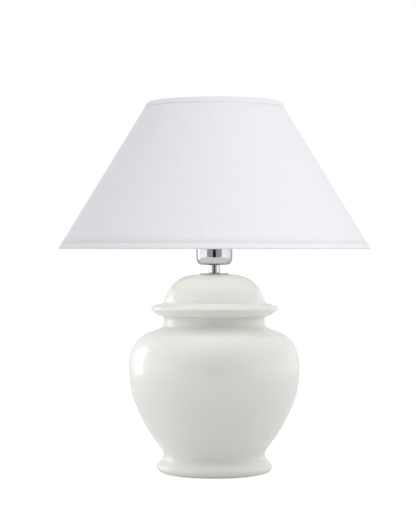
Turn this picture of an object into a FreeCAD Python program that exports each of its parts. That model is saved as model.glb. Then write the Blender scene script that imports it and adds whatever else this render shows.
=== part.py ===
"""Table lamp: a glazed ceramic ginger jar with a domed lid, a chromed lampholder on a short neck, and an empire shade.

The jar and its lid are clamped together by one threaded tube, which runs from a nut under the foot up to the
lampholder. The shade hangs on the lampholder between a support ring and a clamp ring. A lamp bulb screws in.

Frame: origin on the table under the centre of the foot, +Z up, +Y to the back, where the cord leaves. Millimetres.
"""

import FreeCAD
import Part
import Sketcher
import os

PARTS_FOLDER = "parts"
ROOT_3 = 3**0.5

# Driving dimensions: name, value, what it is.
DIMENSIONS = [
    ("felt_thick", 1.0, "felt disc under the foot"),
    ("felt_r", 54.0, "felt disc radius"),
    ("foot_r", 57.0, "outer radius of the ceramic ring that stands on the felt"),
    ("foot_bulge_r", 62.0, "foot moulding, widest radius"),
    ("foot_bulge_z", 6.3, "height of the widest point of the foot moulding"),
    ("foot_recess_r", 48.5, "recess under the jar"),
    ("floor_z", 16.0, "underside of the jar's floor"),
    ("floor_thick", 5.0, "jar's floor"),
    ("floor_hole_r", 21.0, "casting hole in the floor"),
    ("waist_r", 54.4, "narrowest radius above the foot"),
    ("waist_z", 18.6, "height of the waist"),
    ("belly_r", 91.2, "jar, widest radius"),
    ("belly_z", 106.4, "height of the widest point"),
    ("jar_wall", 5.0, "ceramic wall"),
    ("neck_r", 53.8, "jar neck, outer radius"),
    ("neck_bore_r", 47.2, "jar neck, inner radius"),
    ("neck_foot_z", 157.5, "height where the neck leaves the shoulder"),
    ("neck_top_z", 167.0, "top of the jar"),
    ("neck_lip_r", 56.0, "flared lip at the top of the neck"),
    ("gasket_thick", 0.8, "cork ring between jar and lid"),
    ("lid_rim_r", 67.4, "lid rim, widest radius"),
    ("lid_rim_z", 173.0, "height of the rim's edge"),
    ("lid_rim_half", 4.6, "half the thickness of the rim"),
    ("dome_r", 54.0, "lid dome, radius at its foot"),
    ("dome_top_z", 211.2, "top of the lid"),
    ("dome_flat_r", 14.0, "flat crown of the lid"),
    ("spigot_deep", 5.5, "spigot that centres the lid in the neck"),
    ("spigot_r", 46.7, "spigot, outer radius"),
    ("lid_wall", 4.6, "lid's ceramic wall"),
    ("cord_hole_z", 7.2, "height of the cord hole at the back of the foot"),
    ("cord_hole_r", 4.6, "hole in the ceramic for the cord bush"),
    ("bush_bore_r", 3.3, "bush, hole for the cord"),
    ("bush_tip_y", 63.2, "how far back the bush reaches"),
    ("bush_flange_r", 6.2, "bush flange inside the foot"),
    ("bush_flange_y", 46.2, "inner end of the bush"),
    ("rod_r", 5.0, "M10 x 1 threaded tube, outer radius"),
    ("rod_bore_r", 3.5, "threaded tube, bore for the cord"),
    ("rod_foot_z", 8.6, "lower end of the threaded tube"),
    ("rod_top_z", 228.0, "upper end of the threaded tube"),
    ("thread_gap", 0.05, "running clearance between a nut and its thread"),
    ("hole_gap", 0.3, "clearance of a plain hole on the tube"),
    ("plate_r", 36.0, "steel plate across the casting hole"),
    ("plate_thick", 1.5, "steel plate"),
    ("washer_r", 12.0, "washer under the plate"),
    ("washer_thick", 1.4, "washer under the plate"),
    ("nut_across", 14.0, "M10 x 1 nut across its flats"),
    ("nut_thick", 4.0, "M10 x 1 nut"),
    ("crown_washer_r", 15.0, "chromed washer on the lid"),
    ("crown_washer_thick", 1.2, "chromed washer on the lid"),
    ("collar_r", 6.0, "chromed neck tube, outer radius"),
    ("holder_z", 221.5, "underside of the lampholder"),
    ("cup_flat_r", 12.6, "flat bottom of the lampholder cup"),
    ("cup_r", 19.2, "lampholder cup, outer radius"),
    ("cup_top_z", 246.0, "rim of the cup"),
    ("cup_wall", 1.0, "cup wall"),
    ("cup_floor", 2.0, "cup bottom"),
    ("skirt_r", 19.6, "lampholder skirt, outer radius of its thread"),
    ("skirt_bore_r", 18.4, "lampholder skirt, inside"),
    ("skirt_top_z", 282.5, "mouth of the lampholder"),
    ("skirt_lip_r", 15.6, "turned-in lip at the mouth"),
    ("skirt_flange_r", 20.8, "flange that rests on the cup"),
    ("skirt_flange_thick", 2.0, "flange that rests on the cup"),
    ("skirt_spigot_r", 18.0, "spigot that screws into the cup"),
    ("skirt_spigot_deep", 6.0, "spigot that screws into the cup"),
    ("ring_plate_r", 27.5, "shade rings, outer radius"),
    ("ring_hub_r", 23.0, "shade rings, hub radius"),
    ("ring_plate_thick", 2.0, "shade rings, plate"),
    ("ring_hub_tall", 4.0, "shade rings, hub"),
    ("grip_count", 24, "notches round the clamp ring"),
    ("grip_r", 0.9, "radius of a notch"),
    ("core_r", 17.0, "porcelain core"),
    ("core_foot_z", 236.0, "underside of the porcelain core"),
    ("core_floor_z", 257.0, "seat of the contacts in the core"),
    ("core_well_r", 14.6, "well for the screw shell"),
    ("core_flange_thick", 3.0, "flange that seats the core in the skirt"),
    ("shell_r", 14.2, "brass screw shell, outer radius"),
    ("shell_wall", 0.5, "brass screw shell"),
    ("shell_hole_r", 9.2, "opening in the bottom of the screw shell"),
    ("shell_top_z", 278.0, "top of the screw shell"),
    ("tongue_wide", 6.0, "centre contact strip"),
    ("tongue_thick", 0.5, "centre contact strip"),
    ("tongue_reach", 8.0, "half length of the strip"),
    ("tongue_rise", 2.2, "spring height of the strip"),
    ("screw_offset", 9.0, "terminal screws, distance from the axis"),
    ("screw_r", 1.5, "terminal screw shank"),
    ("screw_head_r", 2.8, "terminal screw head"),
    ("screw_head_thick", 2.0, "terminal screw head"),
    ("screw_long", 8.0, "terminal screw shank"),
    ("screw_slot", 0.8, "terminal screw slot"),
    ("bulb_foot_z", 259.4, "tip of the bulb's contact"),
    ("bulb_tip_r", 4.6, "bulb's contact"),
    ("bulb_tip_thick", 1.6, "bulb's contact"),
    ("bulb_insulator_thick", 2.8, "black ring round the contact"),
    ("bulb_cap_r", 13.1, "bulb cap"),
    ("bulb_cap_top_z", 286.0, "upper edge of the cap"),
    ("bulb_cap_wall", 0.6, "bulb cap"),
    ("bulb_housing_r", 26.5, "bulb housing at its top"),
    ("bulb_split_z", 318.0, "where the opal globe meets the housing"),
    ("bulb_globe_r", 30.0, "opal globe, widest radius"),
    ("bulb_globe_z", 337.0, "height of the globe's widest point"),
    ("bulb_top_z", 368.0, "top of the bulb"),
    ("bulb_wall", 1.2, "opal globe and housing walls"),
    ("shade_foot_z", 238.3, "lower edge of the shade"),
    ("shade_top_z", 395.0, "upper edge of the shade"),
    ("shade_foot_r", 166.5, "fabric, radius at the lower edge"),
    ("shade_top_r", 71.0, "fabric, radius at the upper edge"),
    ("fabric_thick", 0.7, "fabric, measured level"),
    ("liner_thick", 0.8, "stiff liner, measured level"),
    ("tape_thick", 0.5, "edge tape"),
    ("tape_tall", 6.0, "edge tape on the outside"),
    ("tape_inside", 1.8, "edge tape turned up on the inside"),
    ("wire_r", 1.5, "wire of the shade's rings and arms"),
    ("wire_gap", 0.12, "room round the ring wires"),
    ("fitter_r", 30.5, "fitter ring, outer radius"),
    ("fitter_bore_r", 20.4, "fitter ring, inner radius"),
    ("fitter_thick", 1.2, "fitter ring"),
    ("arm_knee_r", 40.0, "radius at which the arms turn down"),
    ("arm_count", 3, "arms between fitter ring and lower ring"),
    ("seat_gap", 0.05, "play between the shade and the rings that hold it"),
    ("clamp_washer_thick", 0.8, "fibre washer under the clamp ring"),
]


class Size:
    """A number together with the spreadsheet expression that gives it, so arithmetic writes the expression."""

    def __init__(self, value, text):
        self.value = float(value)
        self.text = text

    def _join(self, sign, other, value):
        right = other.text if isinstance(other, Size) else repr(other)
        return Size(value, f"({self.text} {sign} {right})")

    def __add__(self, other):
        return self._join("+", other, self.value + number(other))

    def __sub__(self, other):
        return self._join("-", other, self.value - number(other))

    def __mul__(self, other):
        return self._join("*", other, self.value * number(other))

    def __truediv__(self, other):
        return self._join("/", other, self.value / number(other))

    def __neg__(self):
        return self * -1


def number(item):
    """The plain number in a Size or a number."""
    return item.value if isinstance(item, Size) else float(item)


doc = FreeCAD.newDocument("table_lamp")


def make_sheet():
    """Writes the driving dimensions to the spreadsheet and returns them as {name: Size}."""
    sheet = doc.addObject("Spreadsheet::Sheet", "Sizes")
    sizes = {}
    for row, (name, value, words) in enumerate(DIMENSIONS, start=1):
        sheet.set(f"A{row}", words)
        sheet.set(f"B{row}", str(value))
        sheet.setAlias(f"B{row}", name)
        sizes[name] = Size(value, f"Sizes.{name}")
    doc.recompute()
    return sizes


SIZES = make_sheet()


def size(name):
    """The driving dimension of that name."""
    return SIZES[name]


# ---------------------------------------------------------------- sketch and feature helpers


def make_body(label):
    """A new PartDesign body whose Label names its file."""
    body = doc.addObject("PartDesign::Body", label)
    body.Label = label
    return body


def make_sketch(body, role, lift=None):
    """A sketch on one of the body's own origin planes, moved off it by lift."""
    plane = next(f for f in body.Origin.OriginFeatures if f.Role == role)
    sketch = body.newObject("Sketcher::SketchObject", body.Label + "_sketch")
    sketch.AttachmentSupport = [(plane, "")]
    sketch.MapMode = "FlatFace"
    if lift is not None:
        sketch.AttachmentOffset = FreeCAD.Placement(FreeCAD.Vector(0, 0, number(lift)), FreeCAD.Rotation())
        sketch.setExpression("AttachmentOffset.Base.z", lift.text)
    return sketch


def hold(sketch, kind, geometry, point, value):
    """Fixes one coordinate of a sketch point to a Size or number. kind is DistanceX or DistanceY."""
    if abs(number(value)) < 1e-9:
        axis = -2 if kind == "DistanceX" else -1
        sketch.addConstraint(Sketcher.Constraint("PointOnObject", geometry, point, axis))
        return
    index = sketch.addConstraint(Sketcher.Constraint(kind, -1, 1, geometry, point, number(value)))
    if isinstance(value, Size):
        sketch.setExpression(f"Constraints[{index}]", value.text)


def hold_point(sketch, geometry, point, place):
    """Fixes both coordinates of a sketch point."""
    hold(sketch, "DistanceX", geometry, point, place[0])
    hold(sketch, "DistanceY", geometry, point, place[1])


def vector(place):
    """The sketch vector of a pair of Sizes or numbers."""
    return FreeCAD.Vector(number(place[0]), number(place[1]), 0)


class Curve:
    """A smooth stretch of an outline: the control points between the corner before it and the corner after it."""

    def __init__(self, *poles):
        self.poles = list(poles)


def add_curve(sketch, poles):
    """Adds a cubic B-spline, or a parabola through three poles, and fixes every pole but the last."""
    degree = min(3, len(poles) - 1)
    mults = [degree + 1] + [1] * (len(poles) - degree - 1) + [degree + 1]
    curve = Part.BSplineCurve()
    curve.buildFromPolesMultsKnots([vector(p) for p in poles], mults, list(range(len(mults))), False, degree)
    index = sketch.addGeometry(curve, False)
    for place, pole in enumerate(poles):
        mark = sketch.addGeometry(Part.Circle(vector(pole), FreeCAD.Vector(0, 0, 1), 1.0), True)
        sketch.addConstraint(Sketcher.Constraint("Weight", mark, 1.0))
        kind = "InternalAlignment:Sketcher::BSplineControlPoint"
        sketch.addConstraint(Sketcher.Constraint(kind, mark, 3, index, place))
        if place < len(poles) - 1:
            hold_point(sketch, mark, 3, pole)
    return index


def outline(sketch, path, closed=True):
    """Draws a path of corners, each a pair (across, up), with a Curve between two corners where it is smooth."""
    corners = [item for item in path if not isinstance(item, Curve)]
    pieces = []
    for place, item in enumerate(path):
        if isinstance(item, Curve):
            continue
        following = path[(place + 1) % len(path)]
        if not closed and place == len(path) - 1:
            break
        target = corners[(corners.index(item) + 1) % len(corners)]
        if isinstance(following, Curve):
            pieces.append(add_curve(sketch, [item, *following.poles, target]))
        else:
            pieces.append(sketch.addGeometry(Part.LineSegment(vector(item), vector(target)), False))
            hold_point(sketch, pieces[-1], 1, item)
    joins = zip(pieces, pieces[1:] + pieces[:1]) if closed else zip(pieces, pieces[1:])
    for before, after in joins:
        sketch.addConstraint(Sketcher.Constraint("Coincident", before, 2, after, 1))
    if not closed:
        hold_point(sketch, pieces[-1], 2, corners[-1])
    return pieces


def circle(sketch, centre, radius):
    """Draws one fixed circle."""
    shape = Part.Circle(vector(centre), FreeCAD.Vector(0, 0, 1), number(radius))
    index = sketch.addGeometry(shape, False)
    hold_point(sketch, index, 3, centre)
    limit = sketch.addConstraint(Sketcher.Constraint("Radius", index, number(radius)))
    sketch.setExpression(f"Constraints[{limit}]", radius.text)


def revolve(body, sketch, kind):
    """Turns a sketch about the body's upright axis: kind is Revolution to add or Groove to cut."""
    feature = body.newObject("PartDesign::" + kind, body.Label + "_" + kind.lower())
    feature.Profile = sketch
    feature.ReferenceAxis = (sketch, ["V_Axis"])
    feature.Angle = 360
    return feature


def turned(label, path):
    """A body of revolution from its half section."""
    body = make_body(label)
    sketch = make_sketch(body, "XZ_Plane")
    outline(sketch, path)
    revolve(body, sketch, "Revolution")
    return body


def groove(body, path):
    """Cuts a turned recess and makes sure that it cut something."""
    doc.recompute()
    before = body.Shape.Volume
    sketch = make_sketch(body, "XZ_Plane")
    outline(sketch, path)
    revolve(body, sketch, "Groove")
    doc.recompute()
    if body.Shape.Volume >= before:
        raise RuntimeError(f"the groove in {body.Label} cut nothing")


def extrude(body, sketch, kind, length, reverse=False):
    """Pads or pockets a sketch and makes sure that a pocket cut something."""
    doc.recompute()
    before = body.Shape.Volume if kind == "Pocket" else 0.0
    feature = body.newObject("PartDesign::" + kind, body.Label + "_" + kind.lower())
    feature.Profile = sketch
    feature.Length = number(length)
    feature.setExpression("Length", length.text)
    feature.Reversed = reverse
    doc.recompute()
    if kind == "Pocket" and body.Shape.Volume >= before:
        raise RuntimeError(f"the pocket in {body.Label} cut nothing")
    return feature


def around(body, feature, count):
    """Repeats a feature evenly round the upright axis."""
    pattern = body.newObject("PartDesign::PolarPattern", body.Label + "_pattern")
    pattern.Originals = [feature]
    axis = next(f for f in body.Origin.OriginFeatures if f.Role == "Z_Axis")
    pattern.Axis = (axis, [""])
    pattern.Angle = 360
    pattern.Occurrences = int(number(count))
    pattern.setExpression("Occurrences", count.text)
    body.Tip = pattern


def soften(body, radius, places):
    """Rounds the circular edges that lie at the given pairs (radius, height)."""
    doc.recompute()
    base = body.Tip
    names = []
    for index, edge in enumerate(base.Shape.Edges, start=1):
        if not isinstance(edge.Curve, Part.Circle):
            continue
        for across, up in places:
            same = abs(edge.Curve.Radius - number(across)) < 0.01
            if same and abs(edge.Curve.Center.z - number(up)) < 0.01:
                names.append(f"Edge{index}")
    if not names:
        raise RuntimeError(f"no edge of {body.Label} lies at those places")
    fillet = body.newObject("PartDesign::Fillet", body.Label + "_fillet")
    fillet.Base = (base, sorted(set(names)))
    fillet.Radius = radius
    return fillet


def washer(label, outer, inner, foot, thick):
    """A flat ring."""
    top = foot + thick
    return turned(label, [(inner, foot), (outer, foot), (outer, top), (inner, top)])


# ---------------------------------------------------------------- jar, lid and what clamps them


def flank():
    """Control points of the jar's side from waist to neck, each with the direction that leads into the wall."""
    waist_r, waist_z, belly_r = size("waist_r"), size("waist_z"), size("belly_r")
    belly_z, neck_r, neck_foot = size("belly_z"), size("neck_r"), size("neck_foot_z")
    return [
        ((waist_r + 4.2, waist_z + 9.1), (-0.85, 0.53)),
        ((belly_r - 20.0, belly_z - 62.2), (-0.85, 0.53)),
        ((belly_r - 10.0, belly_z - 42.2), (-0.91, 0.41)),
        ((belly_r + 0.1, belly_z - 17.7), (-0.98, 0.18)),
        ((belly_r + 0.5, belly_z + 15.8), (-0.99, -0.14)),
        ((belly_r - 6.8, belly_z + 32.8), (-0.83, -0.56)),
        ((belly_r - 17.8, belly_z + 42.8), (-0.44, -0.90)),
        ((neck_r, neck_foot - 3.5), (-1.32, -1.30)),
    ]


def jar_body():
    """The hollow jar: foot moulding, waist, belly, shoulder and neck, open at the neck and through the floor."""
    foot_z, waist_r, waist_z = size("felt_thick"), size("waist_r"), size("waist_z")
    bulge_r, bulge_z, neck_r = size("foot_bulge_r"), size("foot_bulge_z"), size("neck_r")
    neck_top, lip_r = size("neck_top_z"), size("neck_lip_r")
    foot_curve = Curve(
        (size("foot_r") + 2.6, foot_z),
        (bulge_r + 0.2, bulge_z - 2.2),
        (bulge_r, bulge_z + 1.3),
        (bulge_r - 3.8, bulge_z + 5.3),
        (waist_r, waist_z - 2.8),
    )
    body = turned(
        "jar_body",
        [
            (size("floor_hole_r"), foot_z),
            (size("foot_r"), foot_z),
            foot_curve,
            (waist_r, waist_z),
            Curve((waist_r, waist_z + 3.6), *(pole for pole, _ in flank())),
            (neck_r, size("neck_foot_z")),
            (neck_r, neck_top - 4.0),
            Curve((neck_r, neck_top - 1.8), (lip_r - 1.0, neck_top - 0.8)),
            (lip_r, neck_top),
            (size("neck_bore_r"), neck_top),
            (size("floor_hole_r"), neck_top),
        ],
    )
    hollow_out_jar(body)
    recess_r, floor_z = size("foot_recess_r"), size("floor_z")
    groove(body, [(0, 0), (recess_r, 0), (recess_r, floor_z), (0, floor_z)])
    bore = make_sketch(body, "XZ_Plane")
    circle(bore, (0, size("cord_hole_z")), size("cord_hole_r"))
    extrude(body, bore, "Pocket", size("belly_r"), reverse=False)
    return body


def hollow_out_jar(body):
    """Cuts the cavity, which follows the outside one wall further in, and opens the neck."""
    wall, bore_r = size("jar_wall"), size("neck_bore_r")
    floor_top, neck_top = size("floor_z") + size("floor_thick"), size("neck_top_z")
    heel_r = size("waist_r") - wall
    poles = [(pole[0] + wall * inward[0], pole[1] + wall * inward[1]) for pole, inward in flank()]
    cavity = Curve((heel_r - 2.0, floor_top), (heel_r + 0.6, floor_top + 3.0), *poles)
    groove(
        body,
        [
            (0, floor_top),
            (heel_r - 8.0, floor_top),
            cavity,
            (bore_r, neck_top - 13.0),
            (bore_r, neck_top + 1.0),
            (0, neck_top + 1.0),
        ],
    )


def dome():
    """Control points of the lid's dome from rim to crown, each with the direction that leads into the wall."""
    dome_r, top = size("dome_r"), size("dome_top_z")
    return [
        ((dome_r - 0.6, top - 27.0), (-0.92, -0.40)),
        ((dome_r - 5.1, top - 16.6), (-0.85, -0.50)),
        ((dome_r - 6.3, top - 14.0), (-0.75, -0.65)),
        ((dome_r - 20.5, top), (-0.30, -1.00)),
    ]


def jar_lid():
    """The domed lid with its rolled rim, a spigot that drops into the neck and a hole for the tube."""
    seat = size("neck_top_z") + size("gasket_thick")
    rim_r, rim_z, half = size("lid_rim_r"), size("lid_rim_z"), size("lid_rim_half")
    dome_r, top, flat = size("dome_r"), size("dome_top_z"), size("dome_flat_r")
    wall, hole_r = size("lid_wall"), size("rod_r") + size("hole_gap")
    spigot_r, spigot_foot = size("spigot_r"), seat - size("spigot_deep")
    rim = Curve(
        (rim_r - 8.3, seat - 0.9),
        (rim_r, rim_z - half + 1.6),
        (rim_r + 0.7, rim_z + half - 2.5),
        (rim_r - 6.7, rim_z + half + 0.1),
        (dome_r + 2.4, rim_z + half + 0.3),
        (dome_r - 0.1, rim_z + half + 2.7),
    )
    inside = [(pole[0] + wall * inward[0], pole[1] + wall * inward[1]) for pole, inward in reversed(dome())]
    return turned(
        "jar_lid",
        [
            (spigot_r, spigot_foot),
            (spigot_r, seat),
            (size("neck_lip_r") + 0.8, seat),
            rim,
            (dome_r, rim_z + half + 4.0),
            Curve(*(pole for pole, _ in dome())),
            (flat, top),
            (hole_r, top),
            (hole_r, top - wall),
            (flat, top - wall),
            Curve(*inside),
            (dome_r - wall, rim_z + half + 1.6),
            (spigot_r - 3.6, seat + 3.0),
            (spigot_r - 3.6, spigot_foot),
        ],
    )


def clamping_parts():
    """What holds the jar together from below: felt, plate, washer, nut and the threaded tube, with the seals."""
    floor_z, rod_r = size("floor_z"), size("rod_r")
    plate_foot = floor_z - size("plate_thick")
    washer_foot = plate_foot - size("washer_thick")
    plain_hole = rod_r + size("hole_gap")
    turned(
        "felt_disc",
        [
            (0, 0),
            (size("felt_r"), 0),
            (size("felt_r"), size("felt_thick")),
            (0, size("felt_thick")),
        ],
    )
    washer("base_plate", size("plate_r"), plain_hole, plate_foot, size("plate_thick"))
    washer("base_washer", size("washer_r"), plain_hole, washer_foot, size("washer_thick"))
    hex_nut("base_nut", washer_foot - size("nut_thick"))
    washer("threaded_tube", rod_r, size("rod_bore_r"), size("rod_foot_z"), size("rod_top_z") - size("rod_foot_z"))
    seal_r = size("neck_bore_r") + 1.3
    washer("lid_seal", size("neck_lip_r") - 2.4, seal_r, size("neck_top_z"), size("gasket_thick"))


def hex_nut(label, foot):
    """A hexagon nut on the threaded tube, bored to its running clearance."""
    body = make_body(label)
    sketch = make_sketch(body, "XY_Plane", foot)
    corner = size("nut_across") / ROOT_3
    flat = size("nut_across") / 2
    corners = [
        (corner, 0),
        (corner / 2, flat),
        (-corner / 2, flat),
        (-corner, 0),
        (-corner / 2, -flat),
        (corner / 2, -flat),
    ]
    outline(sketch, corners)
    circle(sketch, (0, 0), size("rod_r") + size("thread_gap"))
    extrude(body, sketch, "Pad", size("nut_thick"))
    return body


def cord_bush():
    """The bush that lines the cord hole: a flange inside the foot and a barrel out through the ceramic."""
    start, tip = size("bush_flange_y"), size("bush_tip_y")
    barrel_r, bore_r = size("cord_hole_r") - 0.1, size("bush_bore_r")
    body = turned(
        "cord_bush",
        [
            (bore_r, 0),
            (size("bush_flange_r"), 0),
            (size("bush_flange_r"), 1.4),
            (barrel_r, 1.4),
            (barrel_r, tip - start),
            (bore_r, tip - start),
        ],
    )
    soften(body, 0.6, [(barrel_r, tip - start)])
    place = FreeCAD.Vector(0, number(start), number(size("cord_hole_z")))
    body.Placement = FreeCAD.Placement(place, FreeCAD.Rotation(FreeCAD.Vector(1, 0, 0), -90))
    body.setExpression("Placement.Base.y", start.text)
    body.setExpression("Placement.Base.z", size("cord_hole_z").text)
    return body


# ---------------------------------------------------------------- lampholder


def crown_parts():
    """The chromed washer on the lid and the short tube that spaces the lampholder off it."""
    top = size("dome_top_z")
    washer_top = top + size("crown_washer_thick")
    hole_r = size("rod_r") + 0.2
    crown = washer("crown_washer", size("crown_washer_r"), hole_r, top, size("crown_washer_thick"))
    soften(crown, 0.7, [(size("crown_washer_r"), washer_top)])
    washer("neck_tube", size("collar_r"), hole_r, washer_top, size("holder_z") - washer_top)


def lampholder_cup():
    """The drawn cup whose rounded bottom shows under the shade."""
    foot, top, wall = size("holder_z"), size("cup_top_z"), size("cup_wall")
    cup_r, flat = size("cup_r"), size("cup_flat_r")
    hole_r = size("rod_r") + size("thread_gap")
    floor = foot + size("cup_floor")
    side = Curve((cup_r - 2.7, foot), (cup_r - 0.9, foot + 7.0), (cup_r, foot + 13.0))
    inner_side = Curve(
        (cup_r - wall, foot + 13.0),
        (cup_r - wall - 0.9, foot + 7.4),
        (cup_r - wall - 2.6, floor - 0.6),
    )
    return turned(
        "lampholder_cup",
        [
            (hole_r, foot),
            (flat, foot),
            side,
            (cup_r, top),
            (cup_r - wall, top),
            inner_side,
            (flat, floor),
            (hole_r, floor),
        ],
    )


def holder_nut():
    """The nut inside the cup that clamps the lampholder down on the neck tube."""
    return hex_nut("holder_nut", size("holder_z") + size("cup_floor"))


def lampholder_skirt():
    """The threaded upper shell: spigot into the cup, flange on its rim, thread for the rings, lip at the mouth."""
    foot, top = size("cup_top_z"), size("skirt_top_z")
    spigot_foot = foot - size("skirt_spigot_deep")
    spigot_r, spigot_bore = size("skirt_spigot_r"), size("core_r") + 0.3
    flange_top = foot + size("skirt_flange_thick")
    bore, lip = size("skirt_bore_r"), size("skirt_lip_r")
    body = turned(
        "lampholder_skirt",
        [
            (spigot_bore, spigot_foot),
            (spigot_r, spigot_foot),
            (spigot_r, foot),
            (size("skirt_flange_r"), foot),
            (size("skirt_flange_r"), flange_top),
            (size("skirt_r"), flange_top),
            (size("skirt_r"), top),
            (lip, top),
            (lip, top - 1.0),
            (bore, top - 1.0),
            (bore, flange_top),
            (spigot_bore, flange_top),
        ],
    )
    soften(body, 0.5, [(size("skirt_r"), top)])
    return body


def ring_levels():
    """Heights of the parts on the skirt, from the flange up: support ring, its plate, fitter, washer, clamp ring."""
    foot = size("cup_top_z") + size("skirt_flange_thick")
    plate = foot + size("ring_hub_tall")
    fitter = plate + size("ring_plate_thick") + size("seat_gap")
    packing = fitter + size("fitter_thick") + size("seat_gap")
    clamp = packing + size("clamp_washer_thick") + size("seat_gap")
    return foot, plate, fitter, packing, clamp


def shade_rings():
    """The support ring under the shade's fitter and the clamp ring and its washer above it."""
    foot, plate, _, packing, clamp = ring_levels()
    bore, hub, rim = size("skirt_r") + size("thread_gap"), size("ring_hub_r"), size("ring_plate_r")
    plate_top, clamp_plate = plate + size("ring_plate_thick"), clamp + size("ring_plate_thick")
    clamp_top = clamp_plate + size("ring_hub_tall")
    support = turned(
        "support_ring",
        [(bore, foot), (hub, foot), (hub, plate), (rim, plate), (rim, plate_top), (bore, plate_top)],
    )
    soften(support, 0.5, [(rim, plate), (rim, plate_top)])
    washer("clamp_washer", size("ring_plate_r"), size("fitter_bore_r"), packing, size("clamp_washer_thick"))
    ring = turned(
        "clamp_ring",
        [(bore, clamp), (rim, clamp), (rim, clamp_plate), (hub, clamp_plate), (hub, clamp_top), (bore, clamp_top)],
    )
    soften(ring, 0.5, [(rim, clamp_plate), (hub, clamp_top)])
    notch = make_sketch(ring, "XY_Plane", clamp)
    circle(notch, (rim + 0.3, 0), size("grip_r"))
    cut = extrude(ring, notch, "Pocket", size("ring_plate_thick"), reverse=True)
    around(ring, cut, size("grip_count"))


def socket_core():
    """The porcelain core: a solid base that carries the contacts, and a sleeve round the screw shell."""
    foot, seat, core_r = size("core_foot_z"), size("core_floor_z"), size("core_r")
    ledge = size("cup_top_z") + size("skirt_flange_thick")
    flange_r, flange_top = size("skirt_bore_r") - 0.2, ledge + size("core_flange_thick")
    top = size("skirt_top_z") - 1.4
    body = turned(
        "socket_core",
        [
            (0, foot),
            (core_r, foot),
            (core_r, ledge),
            (flange_r, ledge),
            (flange_r, flange_top),
            (core_r, flange_top),
            (core_r, top),
            (size("core_well_r"), top),
            (size("core_well_r"), seat),
            (0, seat),
        ],
    )
    holes = make_sketch(body, "XY_Plane", foot)
    circle(holes, (size("screw_offset"), 0), size("screw_r") + 0.1)
    cut = extrude(body, holes, "Pocket", size("screw_long") + 1.0, reverse=True)
    around(body, cut, Size(2, "2"))
    return body


def socket_contacts():
    """The brass screw shell, the spring strip under the bulb's tip, and the two terminal screws."""
    seat, shell_r, wall = size("core_floor_z"), size("shell_r"), size("shell_wall")
    turned(
        "screw_shell",
        [
            (size("shell_hole_r"), seat),
            (shell_r, seat),
            (shell_r, size("shell_top_z")),
            (shell_r - wall, size("shell_top_z")),
            (shell_r - wall, seat + wall),
            (size("shell_hole_r"), seat + wall),
        ],
    )
    centre_contact()
    terminal_screws()


def centre_contact():
    """A bent strip: flat foot on the core and a tongue that rises under the bulb's tip."""
    seat, reach, thick = size("core_floor_z"), size("tongue_reach"), size("tongue_thick")
    rise = seat + size("tongue_rise")
    body = make_body("centre_contact")
    sketch = make_sketch(body, "XZ_Plane")
    side = [
        (-reach, seat),
        (-reach / 2, seat),
        (-reach / 4, rise - thick),
        (reach / 2, rise - thick),
        (reach / 2, rise),
        (-reach / 3, rise),
        (-reach / 1.8, seat + thick),
        (-reach, seat + thick),
    ]
    outline(sketch, side)
    pad = extrude(body, sketch, "Pad", size("tongue_wide"))
    pad.Midplane = True
    return body


def terminal_screws():
    """Two slotted screws that hold the supply wires under the core."""
    head_top = size("core_foot_z")
    head_foot = head_top - size("screw_head_thick")
    body = make_body("terminal_screws")
    body.AllowCompound = True
    head = make_sketch(body, "XY_Plane", head_foot)
    circle(head, (size("screw_offset"), 0), size("screw_head_r"))
    pad = extrude(body, head, "Pad", size("screw_head_thick"))
    shank = make_sketch(body, "XY_Plane", head_top)
    circle(shank, (size("screw_offset"), 0), size("screw_r"))
    stem = extrude(body, shank, "Pad", size("screw_long"))
    slot = make_sketch(body, "XY_Plane", head_foot)
    near, half = size("screw_offset") - 4, size("screw_slot") / 2
    far = size("screw_offset") + 4
    outline(slot, [(near, -half), (far, -half), (far, half), (near, half)])
    cut = extrude(body, slot, "Pocket", size("screw_slot"), reverse=True)
    pattern = body.newObject("PartDesign::PolarPattern", "terminal_screws_pattern")
    pattern.Originals = [pad, stem, cut]
    axis = next(f for f in body.Origin.OriginFeatures if f.Role == "Z_Axis")
    pattern.Axis = (axis, [""])
    pattern.Occurrences = 2
    pattern.Angle = 360
    body.Tip = pattern
    return body


# ---------------------------------------------------------------- bulb


def bulb_parts():
    """A lamp bulb with an E27 cap: contact, black ring, cap, housing, circuit board and opal globe."""
    foot, tip_r, cap_r = size("bulb_foot_z"), size("bulb_tip_r"), size("bulb_cap_r")
    tip_top = foot + size("bulb_tip_thick")
    cap_foot, cap_top = tip_top + size("bulb_insulator_thick"), size("bulb_cap_top_z")
    cap_wall = size("bulb_cap_wall")
    tip = turned("bulb_contact", [(0, foot), (tip_r, foot), (tip_r, tip_top), (0, tip_top)])
    soften(tip, 0.9, [(tip_r, foot)])
    turned("bulb_insulator", [(0, tip_top), (tip_r + 0.6, tip_top), (cap_r - 1.4, cap_foot), (0, cap_foot)])
    turned(
        "bulb_cap",
        [
            (0, cap_foot),
            (cap_r - 1.4, cap_foot),
            (cap_r, cap_foot + 2.2),
            (cap_r, cap_top - 1.6),
            (cap_r + 0.7, cap_top),
            (cap_r - cap_wall, cap_top),
            (cap_r - cap_wall, cap_foot + 3.0),
            (0, cap_foot + 3.0),
        ],
    )
    bulb_housing(cap_r - cap_wall, cap_top)
    bulb_globe()
    board_foot = size("bulb_split_z") - 3.0
    board_r = size("bulb_housing_r") - size("bulb_wall") - 2.0
    turned("bulb_board", [(0, board_foot), (board_r, board_foot), (board_r, board_foot + 1.6), (0, board_foot + 1.6)])


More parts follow.
